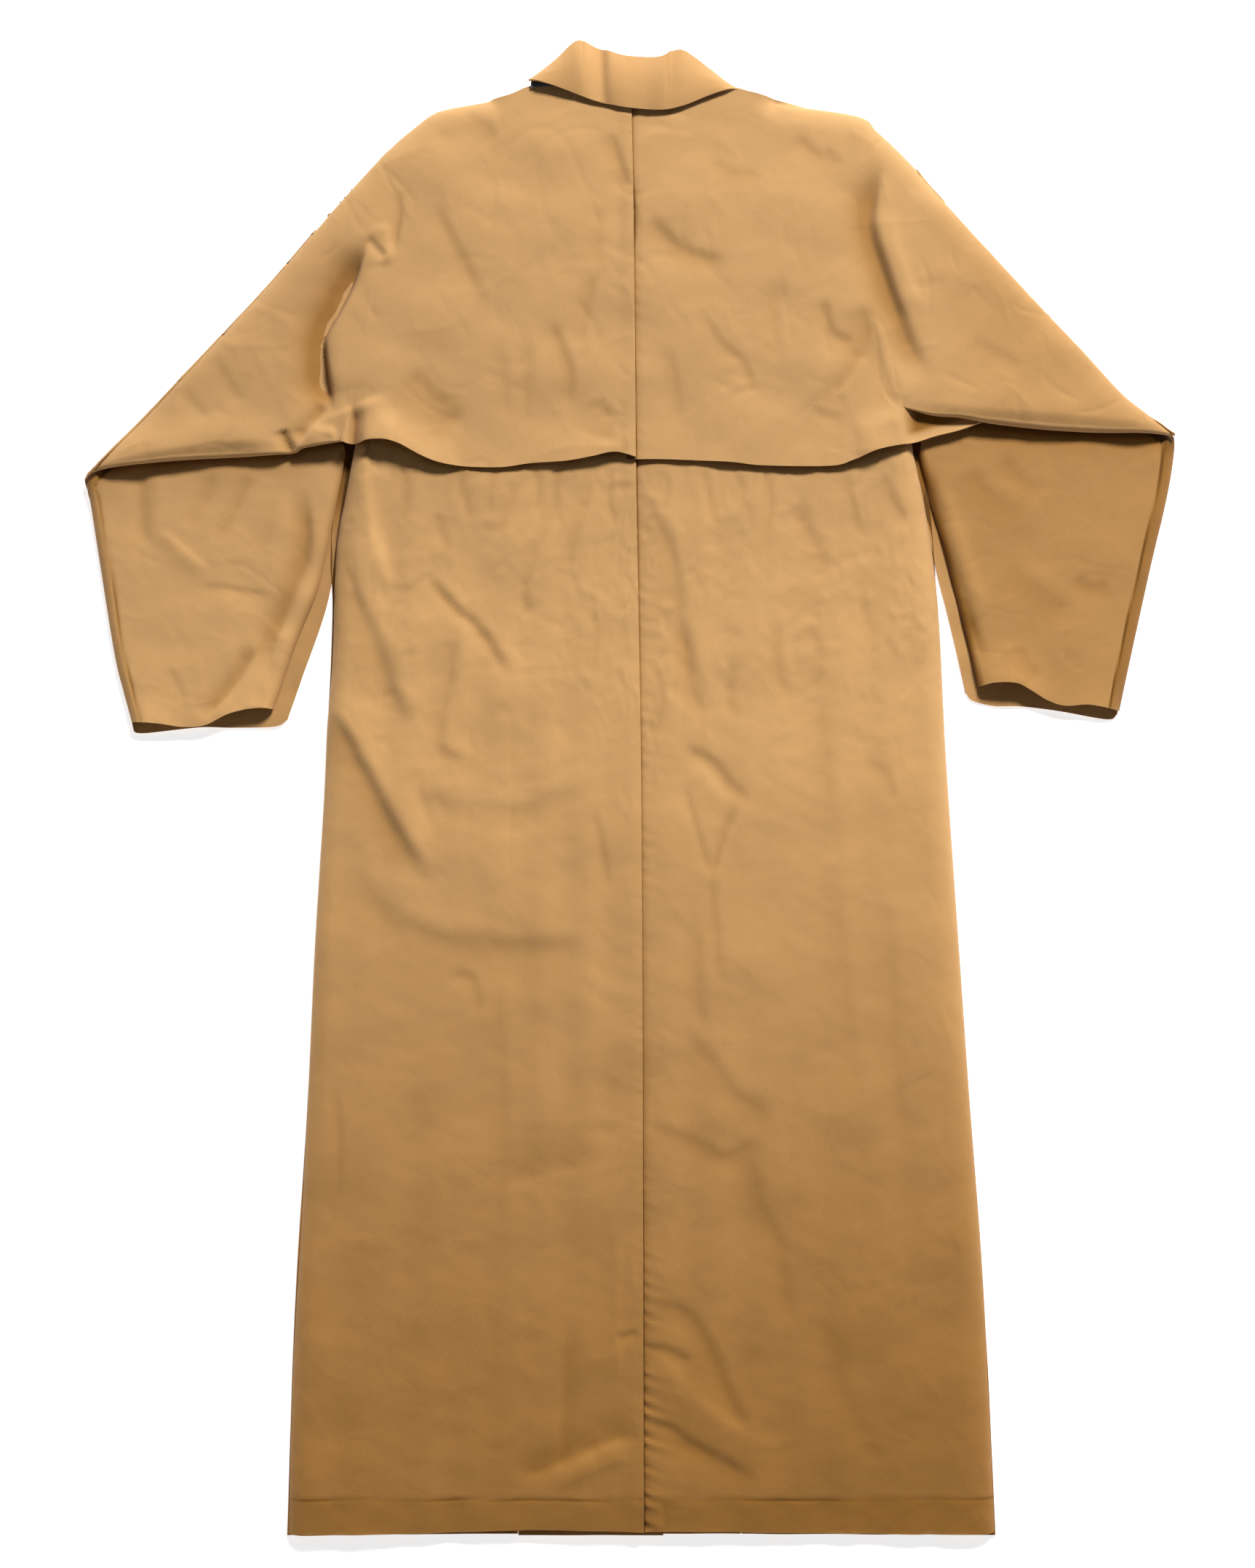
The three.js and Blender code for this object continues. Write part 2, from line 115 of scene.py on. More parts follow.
def clothMaterial(name, pale, deep, worn, weave, crumple, fade=0.0, byUv=True):
    # pale to deep by slow clouds, and by place along the coat as painted light falloff: darker towards the
    # hem, and by a painted top shade darker at the top, both as strong as fade; painted shade from the
    # shade attribute, rubbed where worn is, with crossed threads and small crumples as bump
    material = bpy.data.materials.new(name)
    material.use_nodes = True
    tree = material.node_tree
    bsdf = tree.nodes["Principled BSDF"]
    where = addNode(tree, "ShaderNodeTexCoord", {}, {}, 2 if byUv else 3)
    across = addNode(tree, "ShaderNodeSeparateXYZ", {}, {0: where})
    along = Shade(tree, across.socket.node.outputs[1])
    clouds = addNode(tree, "ShaderNodeTexNoise", {}, {"Vector": where, "Scale": 7.0, "Detail": 5.0})
    patches = addNode(tree, "ShaderNodeTexNoise", {}, {"Vector": where, "Scale": 55.0, "Detail": 6.0})
    flecks = addNode(tree, "ShaderNodeTexNoise", {}, {"Vector": where, "Scale": 900.0, "Detail": 2.0})
    # painted light falloff: darker towards the hem as strong as fade, plus random tone from clouds,
    # patches and flecks
    hemShadeAndTone = ramp(tree, along, 0.15, -0.68) * fade + clouds * 0.2 + patches * 0.08 + flecks * 0.1
    hemShadeAndTone = hemShadeAndTone - 0.19
    colour = mixColour(tree, hemShadeAndTone, pale, deep)
    # painted shade: the top of the coat darker, as strong as fade
    topShade = (pale[0] * 0.78, pale[1] * 0.78, pale[2] * 0.78, 1)
    colour = mixColour(tree, ramp(tree, along, 0.02, 0.42) * min(1, fade * 1.1), colour, topShade)
    # painted shade from the per-point shade attribute: first towards a darker tint, then towards near
    # black where strongest
    paintedShade = addNode(tree, "ShaderNodeAttribute", {"attribute_name": "paintedShade"}, {}, 2)
    brown = (0.44, 0.32, 0.06) if fade else (0.4, 0.4, 0.4)
    shaded = (pale[0] * brown[0], pale[1] * brown[1], pale[2] * brown[2], 1)
    colour = mixColour(tree, paintedShade * 1.6, colour, shaded)
    black = (deep[0] * 0.12, deep[1] * 0.1, deep[2] * 0.1, 1)
    colour = mixColour(tree, ramp(tree, paintedShade, 0.4, 1.1), colour, black)
    edge = addNode(tree, "ShaderNodeAttribute", {"attribute_name": "worn"}, {}, 2)
    rub = edge * ramp(tree, patches, 0.35, 0.75) * 0.5
    colour = mixColour(tree, rub, colour, worn)
    tree.links.new(colour.socket, bsdf.inputs["Base Color"])
    rough = 0.78 + patches * 0.12 - rub * 0.15
    tree.links.new(rough.socket, bsdf.inputs["Roughness"])
    bsdf.inputs["Specular IOR Level"].default_value = 0.25
    bsdf.inputs["Sheen Weight"].default_value = 0.12
    bsdf.inputs["Sheen Roughness"].default_value = 0.5
    pitch = 2 * math.pi / weave
    warp = addNode(tree, "ShaderNodeMath", {"operation": "SINE"}, {0: across * pitch})
    weft = addNode(tree, "ShaderNodeMath", {"operation": "SINE"}, {0: along * pitch})
    creased = addNode(tree, "ShaderNodeTexNoise", {},
                      {"Vector": where, "Scale": 16.0, "Detail": 2.0, "Distortion": 1.2})
    sharp = addNode(tree, "ShaderNodeMath", {"operation": "ABSOLUTE"}, {0: creased - 0.5})
    small = addNode(tree, "ShaderNodeTexNoise", {}, {"Vector": where, "Scale": 95.0, "Detail": 4.0})
    height = warp * weft * (weave * 0.05) + sharp * (crumple * 0.7) + small * (crumple * 0.12)
    bump = addNode(tree, "ShaderNodeBump", {}, {"Height": height, "Distance": 1.0, "Strength": 1.0})
    tree.links.new(bump.socket, bsdf.inputs["Normal"])
    return material


def hardMaterial(name, pale, deep, rough):
    # a polished dark disc with streaks
    material = bpy.data.materials.new(name)
    material.use_nodes = True
    tree = material.node_tree
    bsdf = tree.nodes["Principled BSDF"]
    where = addNode(tree, "ShaderNodeTexCoord", {}, {}, 3)
    streaks = addNode(tree, "ShaderNodeTexNoise", {},
                      {"Vector": where, "Scale": 160.0, "Distortion": 2.0})
    tree.links.new(mixColour(tree, streaks, pale, deep).socket, bsdf.inputs["Base Color"])
    tree.links.new((rough + streaks * 0.15).socket, bsdf.inputs["Roughness"])
    bsdf.inputs["Coat Weight"].default_value = 0.2
    return material


# the last number of each cloth is fade, the strength of its painted light falloff
tan = clothMaterial("tan_poplin", (0.60, 0.335, 0.127, 1), (0.40, 0.178, 0.032, 1),
                    (0.70, 0.44, 0.20, 1), 1.1 * mm, 1.0 * mm, 0.9)
# a darker copy of the tan cloth: painted shade for insides that lie in shadow
tanShadedCopy = clothMaterial("tan_poplin_shaded_inside", (0.44, 0.25, 0.095, 1), (0.32, 0.165, 0.05, 1),
                          (0.5, 0.3, 0.13, 1), 1.1 * mm, 1.0 * mm, 0.3, False)
greyLining = clothMaterial("grey_lining", (0.085, 0.083, 0.088, 1), (0.05, 0.05, 0.054, 1),
                           (0.16, 0.16, 0.16, 1), 0.8 * mm, 0.6 * mm, 0.0, False)
pocketCloth = clothMaterial("pocket_cloth", (0.36, 0.27, 0.16, 1), (0.25, 0.18, 0.1, 1),
                            (0.42, 0.33, 0.22, 1), 0.9 * mm, 0.8 * mm, 0.0, False)
thread = clothMaterial("thread", (0.56, 0.33, 0.13, 1), (0.4, 0.21, 0.06, 1),
                       (0.6, 0.38, 0.17, 1), 0.5 * mm, 0.2 * mm, 0.7)
hornBrown = hardMaterial("horn", (0.09, 0.05, 0.03, 1), (0.03, 0.018, 0.012, 1), 0.3)
print("materials ready")

# surfaces


def curve(points, spots):
    # a Catmull-Rom curve through the points, read at the given shares of its length, in metres
    p = np.array(points, float) * mm
    ends = np.vstack([2 * p[0] - p[1], p, 2 * p[-1] - p[-2]])
    a, b, c, d = (ends[i:len(ends) - 3 + i, None] for i in range(4))
    t = np.linspace(0, 1, 12, endpoint=False)[None, :, None]
    fine = 0.5 * (2 * b + (c - a) * t + (2 * a - 5 * b + 4 * c - d) * t**2
                  + (3 * b - a - 3 * c + d) * t**3)
    fine = np.vstack([fine.reshape(-1, 2), p[-1:]])
    run = np.concatenate([[0], np.cumsum(np.linalg.norm(np.diff(fine, axis=0), axis=1))])
    at = np.asarray(spots) * run[-1]
    return np.stack([np.interp(at, run, fine[:, 0]), np.interp(at, run, fine[:, 1])], axis=-1)


def crowded(count, share=0.55):
    # shares from 0 to 1 that stand closer together near both ends
    s = np.linspace(0, 1, count)
    return (1 - share) * s + share * (0.5 - 0.5 * np.cos(math.pi * s))


def patch(bottom, top, left, right, step):
    # a Coons patch: both ruled surfaces between facing edges, less the one through the corners
    def length(points):
        return np.linalg.norm(np.diff(np.array(points, float) * mm, axis=0), axis=1).sum()

    cols = int(max(length(bottom), length(top)) / (step * mm)) + 2
    rows = int(max(length(left), length(right)) / (step * mm)) + 2
    s, t = crowded(cols), crowded(rows, 0.3)
    b, h, l, r = curve(bottom, s), curve(top, s), curve(left, t), curve(right, t)
    s, t = s[None, :, None], t[:, None, None]
    ruled = (1 - t) * b[None] + t * h[None] + (1 - s) * l[:, None] + s * r[:, None]
    corners = (1 - s) * (1 - t) * b[0] + s * (1 - t) * b[-1] + (1 - s) * t * h[0] + s * t * h[-1]
    return ruled - corners


def nearest(x, y, path, count=40):
    # distance from each place to the path, which side it is on (left is positive), and how far along
    line = curve(path, np.linspace(0, 1, count))
    a, d = line[:-1], np.diff(line, axis=0)
    px, py = x.ravel()[:, None] - a[None, :, 0], y.ravel()[:, None] - a[None, :, 1]
    t = np.clip((px * d[:, 0] + py * d[:, 1]) / (d**2).sum(1), 0, 1)
    gap = np.hypot(px - t * d[:, 0], py - t * d[:, 1])
    k = gap.argmin(1)
    row = np.arange(len(k))
    side = np.sign(d[k, 0] * py[row, k] - d[k, 1] * px[row, k])
    shape = x.shape
    return gap[row, k].reshape(shape), side.reshape(shape), ((k + t[row, k]) / len(a)).reshape(shape)


def smooth(t):
    t = np.clip(t, 0, 1)
    return t * t * (3 - 2 * t)


def folds(x, y, strokes):
    # sum of strokes. A groove or ridge is high * exp(-(gap / w)^2), where w is 0.75 wide on the left of
    # the path and 1.9 wide on its right, so that one flank is crisp. A step is high on its left and low
    # on its right, high * tanh(gap / wide) * exp(-gap / reach). Both fade in and out along the path.
    z = np.zeros_like(x)
    for kind, high, wide, reach, path in strokes:
        points = np.array(path, float) * mm
        margin = 4.2 * max(wide, reach) * mm
        lo, hi = points.min(0) - margin, points.max(0) + margin
        inside = (x > lo[0]) & (x < hi[0]) & (y > lo[1]) & (y < hi[1])
        if not inside.any():
            continue
        gap, side, share = nearest(x[inside], y[inside], path)
        gap = gap / mm
        fade = smooth(share / 0.22) * smooth((1 - share) / 0.22)
        if kind == "step":
            shape = side * np.tanh(gap / wide) * np.exp(-gap / reach)
        else:
            shape = np.exp(-(gap / (wide * np.where(side > 0, 0.75, 1.9))) ** 2)
        z[inside] += high * mm * fade * shape
    return z


def ripple(x, y, seed, size, high, stretch=1.0):
    # a smooth random field: 26 plane waves of about the given size in mm, longer along y by stretch
    rng = np.random.default_rng(seed)
    z = np.zeros_like(x)
    for _ in range(26):
        turn = rng.uniform(0, 2 * math.pi)
        k = 2 * math.pi / (size * mm * rng.uniform(0.7, 1.8))
        phase = rng.uniform(0, 2 * math.pi)
        z += np.sin(k * (math.cos(turn) * x + math.sin(turn) * y / stretch) + phase)
    return z * high * mm / 3.6


def creases(x, y, seed, size, high, count=7, low=-0.9, top=2.2):
    # short broken creases: crests of bent waves, (1 - |sin|)^6, shown only where a slow field is high
    rng = np.random.default_rng(seed)
    z = np.zeros_like(x)
    for _ in range(count):
        turn, pitch = rng.uniform(low, top), size * mm * rng.uniform(0.8, 1.6)
        bent = ripple(x, y, int(rng.integers(1, 9999)), size * 1.6, 1000) * 0.9
        mask = smooth(ripple(x, y, int(rng.integers(1, 9999)), size * 1.1, 1000) * 1.6 - 0.5)
        phase = math.pi * (math.cos(turn) * x + math.sin(turn) * y) / pitch + bent
        z += rng.choice([-1.0, 0.8]) * (1 - np.abs(np.sin(phase))) ** 6 * mask
    return z * high * mm


def rollOff(gap, reach, drop):
    # falls by drop at the edge in a quarter ellipse that is reach wide
    t = np.clip(gap / (reach * mm), 0, 1)
    return -drop * mm * (1 - np.sqrt(np.clip(1 - (1 - t) ** 2, 0, 1)))


def shell(name, top, thick, material, worn=None, paintedShade=None):
    # a closed sheet: the grid seen from outside, the same grid set back along its normals, and a rim;
    # worn and the painted shade are 0 to 1 for each grid point, for rubbed edges and for painted shade
    # in seams, slits, creases and under hems
    rows, cols = top.shape[:2]
    normal = np.cross(np.gradient(top, axis=1), np.gradient(top, axis=0))
    normal /= np.maximum(np.linalg.norm(normal, axis=2, keepdims=True), 1e-12)
    under = top - normal * thick * mm
    count = rows * cols
    index = np.arange(count).reshape(rows, cols)
    a, b, c, d = (q.ravel() for q in (index[:-1, :-1], index[:-1, 1:], index[1:, 1:], index[1:, :-1]))
    loop = np.concatenate([index[0, :-1], index[:-1, -1], index[-1, :0:-1], index[:0:-1, 0]])
    after = np.roll(loop, -1)
    faces = np.vstack([np.stack([a, b, c, d], 1), np.stack([a, d, c, b], 1) + count,
                       np.stack([loop, loop + count, after + count, after], 1)])
    mesh = bpy.data.meshes.new(name)
    mesh.vertices.add(2 * count)
    mesh.vertices.foreach_set("co", np.vstack([top.reshape(-1, 3), under.reshape(-1, 3)]).ravel())
    mesh.loops.add(faces.size)
    mesh.loops.foreach_set("vertex_index", faces.ravel())
    mesh.polygons.add(len(faces))
    mesh.polygons.foreach_set("loop_start", np.arange(0, faces.size, 4))
    mesh.polygons.foreach_set("use_smooth", np.ones(len(faces), bool))
    mesh.update(calc_edges=True)
    ends = np.zeros(len(mesh.edges) * 2, np.int64)
    mesh.edges.foreach_get("vertices", ends)
    ends = np.sort(ends.reshape(-1, 2), axis=1)
    code = ends[:, 0] * (4 * count) + ends[:, 1]
    border = np.sort(np.stack([loop, after], 1), axis=1)
    border = np.vstack([border, border + count])
    sharp = np.isin(code, border[:, 0] * (4 * count) + border[:, 1])
    mesh.attributes.new("sharp_edge", "BOOLEAN", "EDGE").data.foreach_set("value", sharp)
    flat = np.vstack([top.reshape(-1, 3)[:, :2]] * 2)
    uv = mesh.uv_layers.new(name="flat")
    uv.data.foreach_set("uv", flat[faces.ravel()].ravel().astype(np.float32))
    rub = np.zeros((rows, cols)) if worn is None else np.clip(worn, 0, 1)
    # the painted shade for each point
    low = np.zeros((rows, cols)) if paintedShade is None else np.clip(paintedShade, 0, 1)
    for title, values in (("worn", rub), ("paintedShade", low)):
        mesh.attributes.new(title, "FLOAT", "POINT").data.foreach_set(
            "value", np.concatenate([values.ravel(), values.ravel()]).astype(np.float32))
    mesh.materials.append(material)
    piece = bpy.data.objects.new(name, mesh)
    bpy.context.scene.collection.objects.link(piece)
    return piece


def withHeight(flat, z):
    return np.dstack([flat, z])


def area(top):
    # the grid's own area, in square metres
    u, v = top[:-1, 1:] - top[:-1, :-1], top[1:, :-1] - top[:-1, :-1]
    return float(np.linalg.norm(np.cross(u, v), axis=2).sum())


def layOn(body, piece, top, stands=(), places=3):
    # hide the CAD parts the piece stands for, and parent it to its body when that is named, else only bake
    # its place; its flat size is worked out but not kept
    if stands:
        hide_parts(*stands)
    if isinstance(body, str):
        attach(piece, body)
    else:
        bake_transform(piece)
    round(area(top), places)


def stitches(name, path, height, material, pitch=3.4, long=2.3, wide=0.55):
    # one small six-sided bead for each stitch along the path, half sunk in the cloth
    total = np.linalg.norm(np.diff(np.array(path, float), axis=0), axis=1).sum()
    count = int(total / pitch)
    spots = (np.arange(count) + 0.5) / count
    at, ahead = curve(path, spots), curve(path, np.minimum(spots + 1e-3, 1.0))
    behind = curve(path, np.maximum(spots - 1e-3, 0.0))
    run = ahead - behind
    run /= np.linalg.norm(run, axis=1, keepdims=True)
    across = np.stack([-run[:, 1], run[:, 0]], 1)
    z = height(at[:, 0], at[:, 1])
    rings, sides = np.array([-1, -0.6, 0.6, 1]), 6
    swell = np.array([0.35, 1, 1, 0.35])
    turn = np.arange(sides) * 2 * math.pi / sides
    u = np.repeat(rings, sides) * long / 2 * mm
    w = np.outer(swell, np.cos(turn)).ravel() * wide / 2 * mm
    h = np.outer(swell, np.sin(turn)).ravel() * wide / 2 * mm
    xy = at[:, None] + u[None, :, None] * run[:, None] + w[None, :, None] * across[:, None]
    points = np.dstack([xy, z[:, None] + h[None] + 0.1 * mm])
    ring = np.arange(sides)
    quads = np.vstack([np.stack([k * sides + ring, k * sides + (ring + 1) % sides,
                                 (k + 1) * sides + (ring + 1) % sides, (k + 1) * sides + ring], 1)
                       for k in range(3)])
    quads = quads[:, ::-1]
    ends = [[*ring], [*(3 * sides + ring[::-1])]]
    n = 4 * sides
    faces = (quads[None] + (np.arange(count) * n)[:, None, None]).reshape(-1, 4).tolist()
    for cap in ends:
        faces += (np.array(cap)[None] + (np.arange(count) * n)[:, None]).tolist()
    mesh = bpy.data.meshes.new(name)
    mesh.from_pydata(points.reshape(-1, 3), [], faces)
    mesh.polygons.foreach_set("use_smooth", np.ones(len(mesh.polygons), bool))
    uv = mesh.uv_layers.new(name="flat")
    corner = np.zeros(len(mesh.loops), np.int64)
    mesh.loops.foreach_get("vertex_index", corner)
    uv.data.foreach_set("uv", points.reshape(-1, 3)[corner, :2].ravel().astype(np.float32))
    mesh.materials.append(material)
    piece = bpy.data.objects.new(name, mesh)
    bpy.context.scene.collection.objects.link(piece)
    return piece


# the centre back seam, which the back and the cape share

seamLine = [(1.6, 612), (3, 536), (4.5, 420), (5.5, 295), (8, 150), (10, 30), (11.5, -180), (12, -420),
            (12.7, -663)]


def seamX(y):
    line = np.array(seamLine[::-1], float) * mm
    return np.interp(y, line[:, 1], line[:, 0])


def pucker(x, y, seed, high, reach, pitch=9.0):
    # short crosswise wrinkles beside the seam, of uneven size, fading away from it
    rng = np.random.default_rng(seed)
    gap = np.abs(x - seamX(y)) / mm
    wave = np.zeros_like(x)
    for _ in range(5):
        k = 2 * math.pi / (pitch * rng.uniform(0.7, 1.7) * mm)
        wave += np.sin(k * (y + 0.35 * (x - seamX(y))) + rng.uniform(0, 6.3))
    size = 0.6 + 0.4 * np.sin(y / 0.11 + seed)
    return high * mm * wave / 2.2 * size * np.exp(-gap / reach)


# the shoulder line, which the cape's top and the sleeves' rim share
leftShoulder = [(-201, 584.5), (-189.5, 594), (-175, 604), (-159, 609), (-125, 615)]
rightShoulder = [(219, 589.5), (211, 598.5), (194, 604), (159, 609)]

# the cape, whose hem shades the back and also marks where painted shadow lies on it
cape = {
    "leftHem": [(-257, 310), (-250, 308), (-243, 308), (-234, 310), (-218, 310.5), (-204, 307),
                (-186, 297.5), (-169, 291), (-146, 287.5), (-114, 287), (-88, 290.5), (-56, 292.5),
                (-33, 296.5), (-13, 300.5), (5.5, 296)],
    "rightHem": [(-2.5, 294), (30, 294), (58, 293), (90, 291.5), (120, 288.5), (178, 288), (198, 293),
                 (222, 302.5), (252, 309), (273, 315.5), (293, 320.5), (314, 328)],
    "leftTop": [(-206, 580), *leftShoulder, (-107, 618.5), (-92, 625), (-78, 627.5), (-60, 626),
                (-30, 619), (1.6, 612)],
    "rightTop": [(-6.4, 611), (30, 616), (60, 626), (88, 624), (104, 621.5), *rightShoulder[::-1],
                 (224, 585)],
    "leftLift": [(-257, 1), (-246, 2), (-234, 9), (-205, 10), (-180, 6), (-150, 1.2), (-70, 1.4),
                 (-25, 4), (8, 1.2)],
    "rightLift": [(-5, 1.2), (90, 1.4), (150, 2.0), (185, 3.5), (215, 7.0), (245, 3), (262, 0),
                  (320, 0)],
    "hemReach": 26,
    "bend": (400, 335),
    "lap": 4,
}


# back

back = {
    # painted shade: the lower right of the back made darker
    "shaded": 0.16,
    "thick": 1.3,
    "step": 3.2,
    "hemDepth": 31,
    "heights": [(-664, 9.8), (-600, 11.2), (-300, 13.4), (0, 15.6), (300, 17.2), (620, 17.6)],
    "left": [(-305.5, -666), (-304, -594), (-302, -525), (-299, -464), (-295, -399), (-288, -269),
             (-282, -139), (-274, -9), (-271, 56), (-266, 121), (-263, 213), (-254, 265), (-247.5, 300),
             (-230, 400), (-204, 566)],
    "right": [(327, -665), (324, -594), (321, -529), (318, -464), (314, -399), (309, -334), (304, -269),
              (295, -139), (286, -9), (282, 56), (278, 139), (273, 197), (264, 255), (254, 303),
              (236, 400), (208, 572)],
    "leftHem": [(-305.5, -666), (-250, -665), (-170, -664), (-80, -661), (12.7, -663)],
    "rightHem": [(4.7, -662.5), (60, -662.5), (150, -664), (250, -665), (327, -665)],
    "leftTop": [(-204, 566), (-172, 588), (-90, 604), (1.6, 606)],
    "rightTop": [(-6.4, 606), (90, 606), (176, 590), (208, 572)],
    "leftRoll": (16, 13),
    "rightRoll": (24, 13.5),
    "seamWide": 8,
}
leftFolds = [
    ("step", 4.6, 5.5, 20, [(-276, 72), (-262, 64), (-250, 48), (-228, 7), (-206, -33), (-176, -84)]),
    ("step", 3.0, 6.0, 18, [(-252, 240), (-248, 214), (-242, 178), (-222, 133), (-205, 80), (-186, 50)]),
    ("ridge", 3.2, 9, 9, [(-236, 318), (-236, 262), (-227, 215), (-212, 170)]),
    ("step", 2.1, 9.0, 26, [(-248, -55), (-222, -98), (-194, -119), (-153, -131), (-100, -135),
                            (-20, -135)]),
    ("groove", -1.7, 3.2, 3, [(-182, 195), (-153, 161), (-141, 153), (-125, 133), (-104, 98)]),
    ("step", 0.9, 2.5, 10, [(-182, 195), (-153, 161), (-141, 153), (-125, 133), (-104, 98)]),
    ("step", 1.7, 2.6, 13, [(-150, 148), (-157, 97), (-166, 52), (-163, 35), (-134, 26)]),
    ("step", 1.2, 8.0, 20, [(-206, 12), (-165, -9), (-100, -16), (-60, -2), (-25, -5)]),
    ("groove", -0.45, 1.4, 2, [(-141, 75), (-141, -100)]),
    ("groove", -0.45, 1.4, 2, [(-104, 75), (-104, -100)]),
    ("groove", -1.0, 4, 4, [(-33, -12), (-25, -49), (-18, -92)]),
    ("groove", -1.0, 5, 5, [(-98, 276), (-108, 250), (-118, 220)]),
    ("groove", -0.9, 5, 5, [(-33, 280), (-45, 240), (-57, 190)]),
    ("groove", -0.8, 5, 5, [(-70, 262), (-74, 235), (-90, 200)]),
    ("groove", -1.0, 4.5, 4, [(-163, -168), (-147, -165), (-138, -172), (-132, -202)]),
    ("step", 0.35, 4.0, 14, [(-112, -302), (-50, -299), (8, -300)]),
    ("groove", -2.4, 9, 9, [(14, -574), (-23, -581), (-56, -597), (-104, -616)]),
    ("ridge", 1.6, 9, 9, [(4, -592), (-30, -604), (-70, -622)]),
    ("ridge", 0.6, 3, 3, [(-10, -380), (-10, -560)]),
    ("groove", -1.2, 3, 3, [(-14, -489), (9, -483)]),
    ("groove", -1.0, 12, 12, [(-20, -325), (-60, -335), (-118, -350)]),
    ("groove", -0.7, 6, 6, [(-118, -150), (-112, -300), (-116, -420)]),
    ("groove", -1.1, 3, 3, [(-152, 288), (-147, 262), (-138, 236)]),
    ("groove", -0.9, 3, 3, [(-117, 288), (-124, 262), (-121, 242)]),
    ("groove", -0.9, 3, 3, [(-84, 290), (-80, 268), (-84, 246)]),
    ("groove", -1.0, 3, 3, [(-62, 290), (-66, 262), (-60, 234)]),
    ("groove", -0.9, 3, 3, [(-14, 290), (-18, 262), (-12, 230)]),
    ("groove", -0.9, 4, 4, [(-204, 296), (-198, 268), (-200, 236)]),
    ("groove", -0.9, 3, 3, [(-172, 250), (-166, 226), (-158, 210)]),
    ("groove", -0.8, 3, 3, [(-84, 210), (-92, 176), (-88, 150)]),
    ("groove", -0.8, 4, 4, [(-40, 180), (-30, 140), (-34, 96)]),
    ("groove", -0.8, 4, 4, [(-190, 20), (-184, -10), (-172, -34)]),
    ("groove", -0.8, 4, 4, [(-262, -260), (-258, -320), (-262, -380)]),
    ("groove", -1.2, 6, 6, [(-60, -640), (-58, -520), (-54, -470)]),
    ("ridge", 1.0, 16, 16, [(-296, -488), (-280, -494), (-262, -500)]),
]
rightFolds = [
    ("step", 1.9, 4.5, 15, [(16, 262), (38, 222), (46, 182), (50, 141), (72, 80)]),
    ("groove", -1.3, 6, 6, [(50, 150), (54, 95), (70, 60)]),
    ("groove", -1.7, 4.6, 4, [(44, 40), (74, 25), (90, 5), (110, -10)]),
    ("ridge", 0.9, 8, 8, [(50, 20), (68, 8), (84, -12)]),
    ("groove", -1.0, 2.6, 3, [(49, 6), (60, -33), (73, -80)]),
    ("groove", -1.4, 3.0, 3, [(97, -12), (84, -42), (72, -82)]),
    ("groove", -1.0, 4, 4, [(72, -70), (77, -120), (82, -180)]),
    ("groove", -0.9, 5, 5, [(208, 29), (228, 13), (237, -14)]),
    ("groove", -1.0, 5, 5, [(130, 150), (133, 105), (146, 76)]),
    ("groove", -1.0, 6, 6, [(148, 258), (162, 225), (180, 188)]),
    ("groove", -1.1, 5, 5, [(222, 282), (236, 258), (247, 232)]),
    ("groove", -0.7, 6, 6, [(170, 86), (175, 20), (181, -30)]),
    ("groove", -1.1, 7, 6, [(8, -300), (30, -304), (62, -317), (86, -328), (120, -311)]),
    ("groove", -1.2, 8, 7, [(46, -216), (74, -244), (94, -273), (115, -285), (128, -312)]),
    ("groove", -1.1, 7, 6, [(106, -318), (115, -366), (131, -399), (137, -431), (145, -490)]),
    ("groove", -0.9, 9, 8, [(148, -468), (186, -496), (192, -537), (224, -604)]),
    ("groove", -1.7, 7, 7, [(8, -459), (42, -464), (66, -488), (90, -545), (114, -592)]),
    ("groove", -1.3, 5, 5, [(8, -497), (34, -500), (58, -514)]),
    ("ridge", 1.5, 11, 11, [(16, -500), (66, -553), (138, -598)]),
    ("groove", -1.9, 7, 7, [(8, -566), (34, -570), (50, -582), (79, -598), (118, -622)]),
    ("groove", -0.9, 3, 3, [(31, -664), (30, -636)]),
    ("groove", -0.7, 8, 8, [(182, -60), (192, -180), (205, -300)]),
    ("groove", -0.8, 7, 7, [(230, -90), (236, -220), (244, -330)]),
    ("groove", -0.9, 6, 6, [(60, -120), (62, -190), (76, -215)]),
    ("groove", -1.0, 3, 3, [(66, 288), (72, 258), (80, 228)]),
    ("groove", -0.9, 3, 3, [(97, 286), (101, 262), (110, 238)]),
    ("groove", -0.9, 3, 3, [(122, 284), (126, 252), (121, 222)]),
    ("groove", -0.9, 4, 4, [(192, 286), (198, 252), (210, 224)]),
    ("groove", -0.8, 3, 3, [(28, 288), (34, 268), (30, 244)]),
    ("groove", -0.8, 4, 4, [(160, 150), (170, 118), (166, 84)]),
    ("groove", -0.8, 4, 4, [(204, 190), (212, 150), (220, 120)]),
    ("groove", -0.8, 4, 4, [(96, 120), (90, 84), (98, 56)]),
    ("groove", -0.8, 4, 4, [(20, 120), (28, 84), (22, 40)]),
]


def backHeight(x, y):
    heights = np.array(back["heights"], float) * mm
    z = np.interp(y, heights[:, 0], heights[:, 1])
    z = z + folds(x, y, leftFolds if np.mean(x) < 0 else rightFolds)
    z = z + ripple(x, y, 3, 90, 0.6) + ripple(x, y, 8, 40, 0.36, 9.0) + ripple(x, y, 5, 28, 0.08)
    upright = smooth((y + 0.1) / 0.25)
    z = z + creases(x, y, 61, 75, 0.35, 7, -0.5, 0.7)
    z = z + creases(x, y, 71, 34, 0.75, 8, -0.45, 0.5) * upright
    z = z + 1.3 * mm * np.sin(x / 0.052 + 0.8) * np.exp(-np.abs(y + 0.664) / 0.09)
    return z


